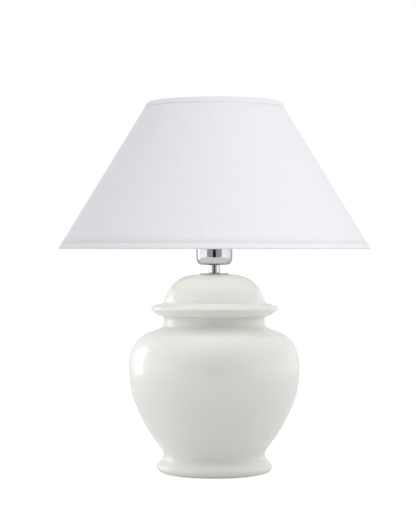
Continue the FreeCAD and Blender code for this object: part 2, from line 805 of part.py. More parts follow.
def bulb_housing(plug_r, cap_top):
    """The white cone between cap and globe, with a plug that fits inside the cap."""
    split, housing_r, wall = size("bulb_split_z"), size("bulb_housing_r"), size("bulb_wall")
    neck_r = size("bulb_cap_r") + 1.2
    plug_foot = cap_top - 6.0
    return turned(
        "bulb_housing",
        [
            (plug_r - wall, plug_foot),
            (plug_r, plug_foot),
            (plug_r, cap_top),
            (neck_r, cap_top),
            Curve((neck_r + 0.4, cap_top + 12.0), (housing_r - 2.0, split - 10.0)),
            (housing_r, split),
            (housing_r - wall, split),
            Curve((housing_r - wall - 2.2, split - 10.0), (neck_r - wall + 0.2, cap_top + 12.0)),
            (plug_r - wall, cap_top + 1.0),
        ],
    )


def bulb_globe():
    """The opal globe."""
    split, housing_r, wall = size("bulb_split_z"), size("bulb_housing_r"), size("bulb_wall")
    globe_r, globe_z, top = size("bulb_globe_r"), size("bulb_globe_z"), size("bulb_top_z")
    round_share = 0.55
    across, up = globe_r * round_share, (top - globe_z) * round_share
    inner_r, inner_top = globe_r - wall, top - wall
    inner_across, inner_up = inner_r * round_share, (inner_top - globe_z) * round_share
    return turned(
        "bulb_globe",
        [
            (housing_r, split),
            Curve((housing_r + 2.2, split + 6.0), (globe_r, globe_z - 7.0)),
            (globe_r, globe_z),
            Curve((globe_r, globe_z + up), (across, top)),
            (0, top),
            (0, inner_top),
            Curve((inner_across, inner_top), (inner_r, globe_z + inner_up)),
            (inner_r, globe_z),
            Curve((inner_r, globe_z - 7.0), (housing_r + 2.2 - wall, split + 6.0)),
            (housing_r - wall, split),
        ],
    )


# ---------------------------------------------------------------- shade


def shade_radius(height, inset=0):
    """Radius of the shade's cone at a height, inset towards the axis."""
    foot_r, foot_z = size("shade_foot_r"), size("shade_foot_z")
    lean = (foot_r - size("shade_top_r")) / (size("shade_top_z") - foot_z)
    return foot_r - lean * (height - foot_z) - inset


def cone_skin(label, inset, thick):
    """One layer of the shade's wall, between the webs of the two edge tapes."""
    foot = size("shade_foot_z") + size("tape_thick")
    top = size("shade_top_z") - size("tape_thick")
    outside, inside = inset, inset + thick
    return turned(
        label,
        [
            (shade_radius(foot, outside), foot),
            (shade_radius(top, outside), top),
            (shade_radius(top, inside), top),
            (shade_radius(foot, inside), foot),
        ],
    )


def wire_ring(label, centre_r, centre_z):
    """A closed ring of round wire."""
    body = make_body(label)
    sketch = make_sketch(body, "XZ_Plane")
    circle(sketch, (centre_r, centre_z), size("wire_r"))
    revolve(body, sketch, "Revolution")
    return body


def wire_places():
    """Centres (radius, height) of the lower and upper ring wires, which lie inside the liner."""
    skins = size("fabric_thick") + size("liner_thick")
    level_r = size("wire_r") * 1.19 + size("wire_gap")
    off_web = size("tape_thick") + size("wire_r") + size("wire_gap")
    lower_z = size("shade_foot_z") + off_web
    upper_z = size("shade_top_z") - off_web
    return (
        (shade_radius(lower_z, skins + level_r), lower_z),
        (shade_radius(upper_z, skins + level_r), upper_z),
    )


def edge_tape(label, edge, direction):
    """Tape folded round an edge of the shade and its wire: outer leg, web and a short inner leg."""
    thick, skins = size("tape_thick"), size("fabric_thick") + size("liner_thick")
    depth = skins + (size("wire_r") * 1.19 + size("wire_gap")) * 2
    web = edge + thick * direction
    outer_end = edge + size("tape_tall") * direction
    inner_end = edge + size("tape_inside") * direction
    return turned(
        label,
        [
            (shade_radius(edge, -thick), edge),
            (shade_radius(outer_end, -thick), outer_end),
            (shade_radius(outer_end, 0), outer_end),
            (shade_radius(web, 0), web),
            (shade_radius(web, depth), web),
            (shade_radius(inner_end, depth), inner_end),
            (shade_radius(inner_end, depth + thick), inner_end),
            (shade_radius(edge, depth + thick), edge),
        ],
    )


def fitter_arms():
    """Three wires, welded on the fitter ring, that run out level, turn down and are welded on the lower ring."""
    _, _, fitter, _, _ = ring_levels()
    (ring_r, ring_z), _ = wire_places()
    wire_r, corner_r = size("wire_r"), size("arm_knee_r")
    start_r = size("fitter_r") - 1.8
    level = fitter + size("fitter_thick") / 2
    end = (ring_r - 1.0, ring_z + wire_r + 0.6)
    bend_share = 0.05
    bend_end = (corner_r + (end[0] - corner_r) * bend_share, level + (end[1] - level) * bend_share)
    body = make_body("fitter_arms")
    body.AllowCompound = True
    route = make_sketch(body, "XZ_Plane")
    outline(
        route,
        [(start_r, level), (corner_r - 6.0, level), Curve((corner_r, level)), bend_end, end],
        closed=False,
    )
    section = make_sketch(body, "YZ_Plane", start_r)
    circle(section, (0, level), wire_r)
    pipe = body.newObject("PartDesign::AdditivePipe", "fitter_arms_pipe")
    pipe.Profile = section
    pipe.Spine = route
    doc.recompute()
    around(body, pipe, size("arm_count"))
    return body


def shade_parts():
    """The shade: fabric on a stiff liner, wire rings, edge tapes, fitter ring and arms."""
    fabric, liner = size("fabric_thick"), size("liner_thick")
    cone_skin("shade_fabric", Size(0, "0"), fabric)
    cone_skin("shade_liner", fabric, liner)
    lower, upper = wire_places()
    wire_ring("lower_ring", *lower)
    wire_ring("upper_ring", *upper)
    edge_tape("lower_tape", size("shade_foot_z"), 1)
    edge_tape("upper_tape", size("shade_top_z"), -1)
    _, _, fitter, _, _ = ring_levels()
    washer("fitter_ring", size("fitter_r"), size("fitter_bore_r"), fitter, size("fitter_thick"))
    fitter_arms()


# ---------------------------------------------------------------- build, check, export


def export_parts():
    """Checks every object and writes each sub-part's shape to its own STEP file."""
    doc.recompute()
    for item in doc.Objects:
        if "Invalid" in item.State or "Error" in item.State:
            raise RuntimeError(f"{item.Label} failed: {item.State}")
    os.makedirs(PARTS_FOLDER, exist_ok=True)
    bodies = [item for item in doc.Objects if item.TypeId == "PartDesign::Body"]
    for body in bodies:
        shape = body.Shape
        if shape.isNull() or not shape.isValid() or shape.Volume <= 0:
            raise RuntimeError(f"{body.Label} has no valid solid")
    for body in bodies:
        body.Shape.exportStep(os.path.join(PARTS_FOLDER, body.Label + ".step"))
        print(f"{body.Label}: {len(body.Shape.Solids)} solid(s), {body.Shape.Volume:.1f} mm3")


jar_body()
jar_lid()
clamping_parts()
cord_bush()
crown_parts()
lampholder_cup()
holder_nut()
lampholder_skirt()
shade_rings()
socket_core()
socket_contacts()
bulb_parts()
shade_parts()
export_parts()
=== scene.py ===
"""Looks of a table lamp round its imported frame: glazed ginger jar, chromed lampholder and cotton shade.

Lengths in the dataclasses are millimetres. Meshes are metres, in the frame's axes: +Z up, +Y to the back.
"""

import logging
import math
from abc import ABC, abstractmethod
from collections.abc import Sequence
from dataclasses import dataclass
from enum import Enum

import bmesh
import bpy
from mathutils import Matrix, Vector


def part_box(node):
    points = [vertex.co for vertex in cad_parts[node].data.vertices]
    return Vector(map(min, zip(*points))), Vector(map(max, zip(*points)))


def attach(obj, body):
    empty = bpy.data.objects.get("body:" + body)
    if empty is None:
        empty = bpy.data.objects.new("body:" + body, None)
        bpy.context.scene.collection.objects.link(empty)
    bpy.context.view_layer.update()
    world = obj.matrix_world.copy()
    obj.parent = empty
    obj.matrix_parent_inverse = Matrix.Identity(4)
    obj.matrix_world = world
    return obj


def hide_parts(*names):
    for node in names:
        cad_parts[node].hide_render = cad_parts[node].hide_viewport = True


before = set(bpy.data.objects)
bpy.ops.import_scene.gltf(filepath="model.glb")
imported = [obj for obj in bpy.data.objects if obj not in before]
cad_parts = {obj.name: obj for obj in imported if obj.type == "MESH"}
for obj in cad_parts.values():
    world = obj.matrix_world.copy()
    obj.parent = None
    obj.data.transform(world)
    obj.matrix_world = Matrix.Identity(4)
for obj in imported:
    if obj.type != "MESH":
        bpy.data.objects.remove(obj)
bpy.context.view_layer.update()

LOG = logging.getLogger("table_lamp")
MM = 0.001
TURN = 2.0 * math.pi
ORIGIN = (0.0, 0.0, 0.0)
UPRIGHT = (0.0, 0.0, 1.0)

Point = tuple[float, float]
Spot = tuple[float, float, float]
Profile = Sequence[Point]
Colour = tuple[float, float, float, float]
Mesh = bmesh.types.BMesh
Socket = bpy.types.NodeSocket
Node = bpy.types.Node
Tree = bpy.types.NodeTree
Thing = bpy.types.Object


class Rig(Enum):
    """The moving bodies of the frame that a piece can ride on."""

    STAND = "stand"
    SHADE = "shade"
    CLAMP = "clamp"
    CLAMP_WASHER = "ring_carrier"
    BULB_TIP = "bulb_carrier"
    BULB = "bulb"


class Detail(Enum):
    """How finely a turned piece is divided: steps round the axis and subdivision levels."""

    LARGE = (72, 2)
    SMALL = (48, 2)
    FLAT = (192, 0)

    @property
    def steps(self) -> int:
        """Steps round the axis."""
        return self.value[0]

    @property
    def levels(self) -> int:
        """Subdivision levels."""
        return self.value[1]


# ------------------------------------------------------------------ colour and node tools


def grey(value: float) -> Colour:
    """A linear grey."""
    return (value, value, value, 1.0)


def linear(code: str) -> Colour:
    """Turns an sRGB hex colour into linear RGBA.

    Args:
        code: a colour such as "#F0EFEA".

    Returns:
        Linear red, green and blue with an alpha of 1.
    """
    values = [int(code[place : place + 2], 16) / 255.0 for place in (1, 3, 5)]
    red, green, blue = (v / 12.92 if v <= 0.04045 else ((v + 0.055) / 1.055) ** 2.4 for v in values)
    return (red, green, blue, 1.0)


def add(
    tree: Tree, kind: str, settings: dict | None = None, links: dict | None = None
) -> Node:
    """Adds one node with its settings and its links.

    Args:
        tree: the node tree.
        kind: the node's type name.
        settings: values by socket name, socket number or property name; "stops" fills a colour ramp.
        links: output sockets by input socket name or number.

    Returns:
        The new node.
    """
    node = tree.nodes.new(kind)
    for key, value in (settings or {}).items():
        if key == "stops":
            ramp = node.color_ramp.elements
            while len(ramp) < len(value):
                ramp.new(0.5)
            for element, (place, colour) in zip(ramp, value):
                element.position = place
                element.color = colour if isinstance(colour, tuple) else linear(colour)
        elif isinstance(key, int) or key in node.inputs:
            node.inputs[key].default_value = linear(value) if isinstance(value, str) else value
        else:
            setattr(node, key, value)
    for key, source in (links or {}).items():
        tree.links.new(source, node.inputs[key])
    return node


class Finish(ABC):
    """A surface finish: a subclass holds its colours and sizes, and wires them to one Principled shader."""

    title: str

    def material(self) -> bpy.types.Material:
        """Makes the material, or returns it if it was made before."""
        found = bpy.data.materials.get(self.title)
        if found:
            return found
        made = bpy.data.materials.new(self.title)
        made.use_nodes = True
        tree = made.node_tree
        self.wire(tree, tree.nodes["Principled BSDF"], add(tree, "ShaderNodeTexCoord"))
        return made

    @abstractmethod
    def wire(self, tree: Tree, surface: Node, place: Node) -> None:
        """Sets the shader and links the patterns that feed it.

        Args:
            tree: the material's node tree.
            surface: its Principled shader.
            place: its Texture Coordinate node.
        """

    def hold(self, surface: Node, **values: object) -> None:
        """Sets constants on the shader's own sockets; an underscore in a name stands for a space."""
        for key, value in values.items():
            socket = surface.inputs[key.replace("_", " ")]
            socket.default_value = linear(value) if isinstance(value, str) else value


@dataclass(frozen=True)
class Glaze(Finish):
    """Opaque white glaze, dipped and fired on cast earthenware: a warm body under a clear, even gloss."""

    title: str = "white_glaze_on_earthenware"
    body: str = "#EDEDE9"
    # Pooled colour, darker than the body: it stands for thicker glaze and for painted shade in the recesses.
    pooled_and_shaded: str = "#E4E6DF"
    bare_edge: str = "#EEECE6"
    top_mm: float = 212.0
    drift_mm: float = 60.0
    ripple_mm: float = 17.0
    peel_mm: float = 2.4
    ripple_deep_mm: float = 0.05
    peel_deep_mm: float = 0.004
    # Stops by height: the pooled colour comes in at the foot, the waist and the neck, as pooled glaze and as
    # painted shade.
    pool_and_shade_stops: tuple[tuple[float, str], ...] = (
        (0.0, "#FFFFFF"), (0.05, "#000000"), (0.075, "#A0A0A0"), (0.11, "#000000"),
        (0.70, "#000000"), (0.745, "#B0B0B0"), (0.775, "#B0B0B0"), (0.80, "#000000"),
    )

    def wire(self, tree: Tree, surface: Node, place: Node) -> None:
        """Tints the glaze darker and greener at the foot, the waist and the neck, for pooled glaze and for
        painted shade in those recesses, and ripples its skin.

        Args:
            tree: the material's node tree.
            surface: its Principled shader.
            place: its Texture Coordinate node.
        """
        self.hold(surface, Roughness=0.42, Coat_Weight=1.0, Coat_Roughness=0.075, Coat_IOR=1.54, IOR=1.5)
        spot = place.outputs["Object"]
        height = add(tree, "ShaderNodeSeparateXYZ", links={0: spot})
        reach = {"From Min": 0.0, "From Max": self.top_mm * MM}
        level = add(tree, "ShaderNodeMapRange", reach, {"Value": height.outputs["Z"]})
        pool_and_shade = add(tree, "ShaderNodeValToRGB", {"stops": self.pool_and_shade_stops}, {"Fac": level.outputs[0]})
        cloud, ripple, peel = (
            add(tree, "ShaderNodeTexNoise", {"Scale": 1.0 / (size * MM), "Detail": detail}, {"Vector": spot})
            for size, detail in ((self.drift_mm, 2.0), (self.ripple_mm, 1.0), (self.peel_mm, 1.0))
        )
        shades = {"data_type": "RGBA", 6: self.body, 7: self.bare_edge}
        base = add(tree, "ShaderNodeMix", shades, {0: cloud.outputs["Fac"]})
        over = {0: pool_and_shade.outputs["Color"], 6: base.outputs[2]}
        # Painted shade: the pooled colour darkens the foot, the waist and the neck.
        pool_and_shade_tint = add(tree, "ShaderNodeMix", {"data_type": "RGBA", 7: self.pooled_and_shaded}, over)
        tree.links.new(pool_and_shade_tint.outputs[2], surface.inputs["Base Color"])
        deep = {"Strength": 1.0, "Distance": self.ripple_deep_mm * MM}
        wide = add(tree, "ShaderNodeBump", deep, {"Height": ripple.outputs["Fac"]})
        shallow = {"Strength": 0.6, "Distance": self.peel_deep_mm * MM}
        waves = {"Height": peel.outputs["Fac"], "Normal": wide.outputs[0]}
        fine = add(tree, "ShaderNodeBump", shallow, waves)
        tree.links.new(fine.outputs[0], surface.inputs["Coat Normal"])


@dataclass(frozen=True)
class Cotton(Finish):
    """Plain-woven cotton: matt, with a soft bloom at a low angle, fine threads and a few thick slubs."""

    title: str = "cool_white_plain_weave_cotton"
    thread: str = "#F3F2F7"
    hollow: str = "#EFEEF3"
    # The real thread is about 0.3 mm, too fine to show: the weave is drawn at three times that.
    thread_mm: float = 0.9
    slub_mm: float = 1.6
    slub_long_mm: float = 46.0
    relief_mm: float = 0.04
    turned: float = 0.0

    def wire(self, tree: Tree, surface: Node, place: Node) -> None:
        """Weaves warp and weft on the UV map, which is the flat cloth in metres.

        Args:
            tree: the material's node tree.
            surface: its Principled shader.
            place: its Texture Coordinate node.
        """
        self.hold(surface, Roughness=0.9, Sheen_Weight=0.12, Sheen_Roughness=0.5, Specular_IOR_Level=0.2)
        turning = {"Rotation": (0.0, 0.0, self.turned)}
        flat = add(tree, "ShaderNodeMapping", turning, {"Vector": place.outputs["UV"]})
        wave = {
            "wave_profile": "SIN",
            "Scale": math.pi / (10.0 * self.thread_mm * MM),
            "Distortion": 0.6,
            "Detail": 1.0,
            "Detail Scale": 2.0,
        }
        warp, weft = (
            add(tree, "ShaderNodeTexWave", {"bands_direction": way, **wave}, {"Vector": flat.outputs[0]})
            for way in ("X", "Y")
        )
        slubs = []
        for along, across in ((self.slub_long_mm, self.slub_mm), (self.slub_mm, self.slub_long_mm)):
            scale = {"Scale": (1.0 / (along * MM), 1.0 / (across * MM), 1.0)}
            drawn = add(tree, "ShaderNodeMapping", scale, {"Vector": flat.outputs[0]})
            knots = {"Scale": 1.0, "Detail": 2.0, "Roughness": 0.55}
            slubs.append(add(tree, "ShaderNodeTexNoise", knots, {"Vector": drawn.outputs[0]}))
        weave, slub = (
            add(tree, "ShaderNodeMath", {"operation": "ADD"}, {0: one.outputs["Fac"], 1: two.outputs["Fac"]})
            for one, two in ((warp, weft), slubs)
        )
        span = {"From Min": 0.75, "From Max": 1.25, "To Min": 0.0, "To Max": 1.0}
        shown = add(tree, "ShaderNodeMapRange", span, {"Value": slub.outputs[0]})
        shades = {"data_type": "RGBA", 6: self.hollow, 7: self.thread}
        colour = add(tree, "ShaderNodeMix", shades, {0: shown.outputs[0]})
        tree.links.new(colour.outputs[2], surface.inputs["Base Color"])
        sum_up = {"operation": "MULTIPLY_ADD", 1: 0.6}
        relief = add(tree, "ShaderNodeMath", sum_up, {0: weave.outputs[0], 2: shown.outputs[0]})
        depth = {"Strength": 0.18, "Distance": self.relief_mm * MM}
        bump = add(tree, "ShaderNodeBump", depth, {"Height": relief.outputs[0]})
        tree.links.new(bump.outputs[0], surface.inputs["Normal"])


@dataclass(frozen=True)
class Grained(Finish):
    """A plain material with a fine grain: colour, gloss and skin vary a little over grains of one size."""

    title: str
    light: str
    dark: str
    grain_mm: float
    rough: float
    rough_spread: float = 0.06
    depth_mm: float = 0.01
    metal: float = 0.0
    sheen: float = 0.0
    glow: float = 0.0
    edge: float = 1.0

    def wire(self, tree: Tree, surface: Node, place: Node) -> None:
        """Feeds one noise to the colour, the roughness and the skin.

        Args:
            tree: the material's node tree.
            surface: its Principled shader.
            place: its Texture Coordinate node.
        """
        self.hold(surface, Metallic=self.metal, Sheen_Weight=self.sheen, Specular_Tint=grey(self.edge))
        self.hold(surface, Subsurface_Weight=self.glow, Subsurface_Scale=2.0 * MM)
        speckle = {"Scale": 1.0 / (self.grain_mm * MM), "Detail": 4.0, "Roughness": 0.6}
        grain = add(tree, "ShaderNodeTexNoise", speckle, {"Vector": place.outputs["Object"]}).outputs["Fac"]
        shades = {"data_type": "RGBA", 6: self.dark, 7: self.light}
        colour = add(tree, "ShaderNodeMix", shades, {0: grain})
        span = {"To Min": self.rough - self.rough_spread, "To Max": self.rough + self.rough_spread}
        gloss = add(tree, "ShaderNodeMapRange", span, {"Value": grain})
        depth = {"Strength": 1.0, "Distance": self.depth_mm * MM}
        skin = add(tree, "ShaderNodeBump", depth, {"Height": grain})
        tree.links.new(colour.outputs[2], surface.inputs["Base Color"])
        tree.links.new(gloss.outputs[0], surface.inputs["Roughness"])
        tree.links.new(skin.outputs[0], surface.inputs["Normal"])


class Finishes:
    """Every finish of the lamp, by what it is."""

    # Thick glossy glaze: soft bright reflections on the shoulders, a little greener and darker where it runs
    # thick in the recesses, which is partly painted shade there.
    GLAZE = Glaze()
    # Matt woven cloth: no gloss, a faint thread and slub, a cool white against the warmer jar.
    COTTON = Cotton()
    # The same cloth cut on the bias: its threads run at 45 degrees, so the hem reads as a separate band.
    BIAS_TAPE = Cotton(title="cool_white_bias_cut_tape", turned=math.pi / 4.0, slub_long_mm=14.0)
    # Calendered film: smooth and satin inside the shade, with hardly any grain.
    FILM = Grained("matt_white_polystyrene_film", "#F3F2F0", "#EDECEA", 5.0, 0.5, depth_mm=0.006)
    # Polished plate: a sharp mirror of the studio, with darker edges at a low angle.
    CHROME = Grained(
        "polished_chrome_plate",
        "#D9DADC",
        "#D2D3D6",
        9.0,
        0.055,
        0.02,
        depth_mm=0.0006,
        metal=1.0,
        edge=0.35,
    )
    # Zinc plate: a dull bluish grey metal with a spangle.
    ZINC = Grained("zinc_plated_steel", "#C3C6CB", "#A6AAB1", 1.6, 0.34, 0.1, depth_mm=0.004, metal=1.0)
    # Drawn brass: a warm yellow metal, lightly dulled by handling.
    BRASS = Grained("drawn_brass", "#E0BE78", "#C99F55", 2.0, 0.26, 0.08, depth_mm=0.003, metal=1.0)
    # Rolled aluminium: a pale metal with a soft, slightly streaky shine.
    ALUMINIUM = Grained("rolled_aluminium", "#D6D6D4", "#BFC0C0", 1.2, 0.3, 0.08, depth_mm=0.003, metal=1.0)
    # Pressed and fired porcelain, unglazed: chalky cream. Its grain is drawn coarser than the real one.
    PORCELAIN = Grained("unglazed_electrical_porcelain", "#EFEDE6", "#E2DFD6", 0.8, 0.55, depth_mm=0.01)
    # Baked powder: an even white with a fine orange peel.
    POWDER_COAT = Grained("white_powder_coat", "#EFEFEE", "#E6E6E5", 0.7, 0.38, depth_mm=0.012)
    # Injection-moulded housing: clean white with a satin skin.
    PLASTIC = Grained("moulded_white_polycarbonate", "#F1F1EF", "#EBEBE9", 1.0, 0.36, depth_mm=0.004)
    # Blown diffuser, frosted inside: light spreads under its skin, so its shadows are soft.
    OPAL = Grained("frosted_opal_diffuser", "#F8F8F5", "#F2F2EF", 3.0, 0.32, depth_mm=0.002, glow=0.2)
    # Moulded nylon: a slightly waxy, warm white.
    NYLON = Grained("moulded_white_nylon", "#EDEDE8", "#E3E3DD", 0.9, 0.42, depth_mm=0.006)
    # Needled felt: matt, mottled and fuzzy. Its fibres are drawn coarser than real ones, to show.
    FELT = Grained("needled_wool_felt", "#D9D6CC", "#B9B5A8", 0.5, 0.95, 0.04, depth_mm=0.2, sheen=0.3)
    # Pressed cork: brown granules, dry and matt.
    CORK = Grained("pressed_cork", "#C49A6C", "#8F6840", 1.3, 0.8, depth_mm=0.08)
    # Vulcanised fibre: brick red, dense, with a dry leathery skin.
    FIBRE = Grained("vulcanised_fibre", "#9C4630", "#7C3424", 1.1, 0.6, depth_mm=0.01)
    # Cast black glass: a deep black with a clear gloss.
    BLACK_GLASS = Grained("black_vitrite_glass", "#16161A", "#0E0E11", 2.0, 0.12, 0.04, depth_mm=0.002)
    # Screen-printed solder mask: a flat white with a slight mottle.
    BOARD = Grained("white_solder_mask", "#F0F0EA", "#E4E4DC", 1.5, 0.4, depth_mm=0.005)


# ------------------------------------------------------------------ mesh tools


def span(node: str) -> Point:
    """Foot and top of a frame node, in millimetres."""
    low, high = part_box(node)
    return low.z / MM, high.z / MM


def oblong(bore: float, rim: float, foot: float, top: float) -> Profile:
    """Section of a flat ring, in millimetres."""
    return [(bore, foot), (rim, foot), (rim, top), (bore, top)]


def sweep(mesh: Mesh, steps: int, angle: float = TURN, rise: float = 0.0, merge: bool = False) -> None:
    """Spins everything in a mesh about the lamp's axis.

    Args:
        mesh: the mesh, which holds a section.
        steps: steps over the angle.
        angle: how far, in radians.
        rise: climb of each step, in metres.
        merge: whether the last step joins the first.
    """
    section = [*mesh.verts, *mesh.edges]
    bmesh.ops.spin(
        mesh,
        geom=section,
        axis=UPRIGHT,
        cent=ORIGIN,
        dvec=(0.0, 0.0, rise),
        angle=angle,
        steps=steps,
        use_merge=merge,
    )


def swivel(mesh: Mesh, angle: float, axis: str, verts: list[bmesh.types.BMVert] | None = None) -> None:
    """Turns a mesh, or some points of it, about an axis through the origin.

    Args:
        mesh: the mesh.
        angle: how far, in radians.
        axis: X, Y or Z.
        verts: the points to turn; all of them if none are given.
    """
    bmesh.ops.rotate(mesh, verts=verts or mesh.verts, cent=ORIGIN, matrix=Matrix.Rotation(angle, 3, axis))


def thread(crest: float, root: float, pitch: float, steps: int) -> Profile:
    """One pitch of a rounded thread, from root to root.

    Args:
        crest: radius over the thread, in millimetres.
        root: radius at its bottom.
        pitch: rise of one turn.
        steps: steps in the profile.

    Returns:
        (radius, height) pairs that start at height 0.
    """
    middle, swing = (crest + root) / 2.0, (crest - root) / 2.0
    return [(middle - swing * math.cos(TURN * n / steps), pitch * n / steps) for n in range(steps + 1)]


def turn(profile: Profile, detail: Detail) -> Mesh:
    """Turns a closed section about the lamp's axis.

    Args:
        profile: (radius, height) pairs in millimetres.
        detail: how finely to divide it; a subdivided piece is made a little larger, to end at its size.

    Returns:
        The turned mesh, with its faces outwards.
    """
    mesh = bmesh.new()
    swell = 3.0 / (2.0 + math.cos(TURN / detail.steps)) if detail.levels else 1.0
    points = [mesh.verts.new((radius * swell * MM, 0.0, height * MM)) for radius, height in profile]
    for pair in zip(points, points[1:] + points[:1]):
        mesh.edges.new(pair)
    sweep(mesh, detail.steps, merge=True)
    bmesh.ops.remove_doubles(mesh, verts=mesh.verts, dist=0.001 * MM)
    bmesh.ops.recalc_face_normals(mesh, faces=mesh.faces)
    return mesh


def ease(mesh: Mesh, radius: float, segments: int = 2, sharper_than: float = 25.0) -> Mesh:
    """Rounds every edge that turns more sharply than an angle.

    Args:
        mesh: the mesh to shape.
        radius: width of the rounding in millimetres.
        segments: steps across it.
        sharper_than: the least turn in degrees.

    Returns:
        The same mesh.
    """
    limit = math.radians(sharper_than)
    edges = [edge for edge in mesh.edges if edge.is_manifold and edge.calc_face_angle(0.0) > limit]
    bmesh.ops.bevel(
        mesh,
        geom=edges,
        offset=radius * MM,
        segments=segments,
        profile=0.5,
        affect="EDGES",
        material=-1,
        clamp_overlap=True,
    )
    return mesh


def screw(section: Profile, pitch: float, foot: float, top: float, bore: float, steps: int = 48) -> Mesh:
    """Makes a tube with a rolled or cut thread outside.

    Args:
        section: (radius, height) pairs over one pitch, starting at height 0.
        pitch: rise of one turn, in millimetres.
        foot: height where the thread starts.
        top: height where it ends.
        bore: inner radius of the tube.
        steps: steps in one turn.

    Returns:
        A closed tube, cut level at both ends.
    """
    mesh = bmesh.new()
    turns = math.ceil((top - foot) / pitch) + 2
    start = foot - pitch
    points = [mesh.verts.new((radius * MM, 0.0, (start + height) * MM)) for radius, height in section]
    for pair in zip(points, points[1:]):
        mesh.edges.new(pair)
    sweep(mesh, steps * turns, TURN * turns, rise=pitch * MM / steps)
    bmesh.ops.remove_doubles(mesh, verts=mesh.verts, dist=0.002 * MM)
    for level, side in ((foot, -1.0), (top, 1.0)):
        bmesh.ops.bisect_plane(
            mesh,
            geom=[*mesh.verts, *mesh.edges, *mesh.faces],
            plane_co=(0.0, 0.0, level * MM),
            plane_no=(0.0, 0.0, side),
            clear_outer=True,
        )
    for level in (foot, top):
        rim = [e for e in mesh.edges if e.is_boundary and on_level(e, level)]
        made = bmesh.ops.create_circle(mesh, segments=steps, radius=bore * MM)["verts"]
        bmesh.ops.translate(mesh, verts=made, vec=(0.0, 0.0, level * MM))
        inner = list({edge for vert in made for edge in vert.link_edges})
        bmesh.ops.bridge_loops(mesh, edges=rim + inner)
    inner = [e for e in mesh.edges if e.is_boundary]
    bmesh.ops.bridge_loops(mesh, edges=inner)
    bmesh.ops.recalc_face_normals(mesh, faces=mesh.faces)
    return mesh


def on_level(edge: bmesh.types.BMEdge, level: float) -> bool:
    """Whether both ends of an edge lie at a height in millimetres."""
    return all(abs(vert.co.z - level * MM) < 0.01 * MM for vert in edge.verts)


def join(target: Mesh, *others: Mesh) -> Mesh:
    """Adds other meshes to the first one and frees them.

    Args:
        target: the mesh that grows.
        others: the meshes to add.

    Returns:
        The first mesh.
    """
    for other in others:
        loose = bpy.data.meshes.new("loose")
        other.to_mesh(loose)
        other.free()
        target.from_mesh(loose)
        bpy.data.meshes.remove(loose)
    return target


def rod(path: list[Vector], radius: float, sides: int = 16) -> Mesh:
    """Makes a round wire along a nearly straight path in the XZ plane.

    Args:
        path: points of its middle line, in millimetres.
        radius: its radius in millimetres.
        sides: sides of its section.

    Returns:
        A wire closed at both ends.
    """
    mesh = bmesh.new()
    ring = bmesh.ops.create_circle(mesh, segments=sides, radius=radius * MM)["verts"]
    swivel(mesh, math.pi / 2.0, "Y", ring)
    bmesh.ops.translate(mesh, verts=ring, vec=path[0] * MM)
    edges = list(mesh.edges)
    bmesh.ops.contextual_create(mesh, geom=edges)
    for before, after in zip(path, path[1:]):
        made = bmesh.ops.extrude_edge_only(mesh, edges=edges)["geom"]
        verts = [item for item in made if isinstance(item, bmesh.types.BMVert)]
        edges = [e for e in made if isinstance(e, bmesh.types.BMEdge) and all(v in verts for v in e.verts)]
        bmesh.ops.translate(mesh, verts=verts, vec=(after - before) * MM)
    bmesh.ops.contextual_create(mesh, geom=edges)
    bmesh.ops.recalc_face_normals(mesh, faces=mesh.faces)
    return mesh


@dataclass(frozen=True)
class Piece:
    """A finished piece: its name, the body it rides on, its finish, its slot and what it stands for."""

    name: str
    rig: Rig
    finish: Finish
    slot: str
    stands_for: tuple[str, ...] = ()

    def publish(self, mesh: Mesh, levels: int = 0) -> Thing:
        """Turns the mesh into the object that shows.

        Args:
            mesh: the piece's mesh, in metres; it is freed.
            levels: subdivision levels.

        Returns:
            The new object, riding on its body.
        """
        data = bpy.data.meshes.new(self.name)
        for face in mesh.faces:
            face.smooth = True
        mesh.to_mesh(data)
        mesh.free()
        made = bpy.data.objects.new(self.name, data)
        bpy.context.scene.collection.objects.link(made)
        data.materials.append(self.finish.material())
        if levels:
            rounder = made.modifiers.new("rounder", "SUBSURF")
            rounder.levels = rounder.render_levels = levels
        self.place(made)
        return made

    def place(self, made: Thing) -> None:
        """Rides the object on its body, hides the frame nodes that it stands for, and logs its face count.

        Args:
            made: the object.
        """
        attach(made, self.rig.value)
        if self.stands_for:
            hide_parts(*self.stands_for)
        LOG.info("%s rides on %s: %d faces", self.name, self.rig.value, len(made.data.polygons))


def settle(made: Thing) -> None:
    """Replaces an object's mesh by the one its modifiers give, and drops them.

    Args:
        made: the object.
    """
    graph = bpy.context.evaluated_depsgraph_get()
    data = bpy.data.meshes.new_from_object(made.evaluated_get(graph), depsgraph=graph)
    made.modifiers.clear()
    made.data = data


def bore_through(made: Thing, cutter: Mesh) -> None:
    """Cuts a shape out of an object for good.

    Args:
        made: the object.
        cutter: the shape; it is freed.
    """
    tool_mesh = bpy.data.meshes.new("tool")
    cutter.to_mesh(tool_mesh)
    cutter.free()
    tool = bpy.data.objects.new("tool", tool_mesh)
    bpy.context.scene.collection.objects.link(tool)
    cut = made.modifiers.new("cut", "BOOLEAN")
    cut.operation, cut.object, cut.solver = "DIFFERENCE", tool, "EXACT"
    settle(made)
    bpy.data.objects.remove(tool)
    bpy.data.meshes.remove(tool_mesh)


# ------------------------------------------------------------------ jar


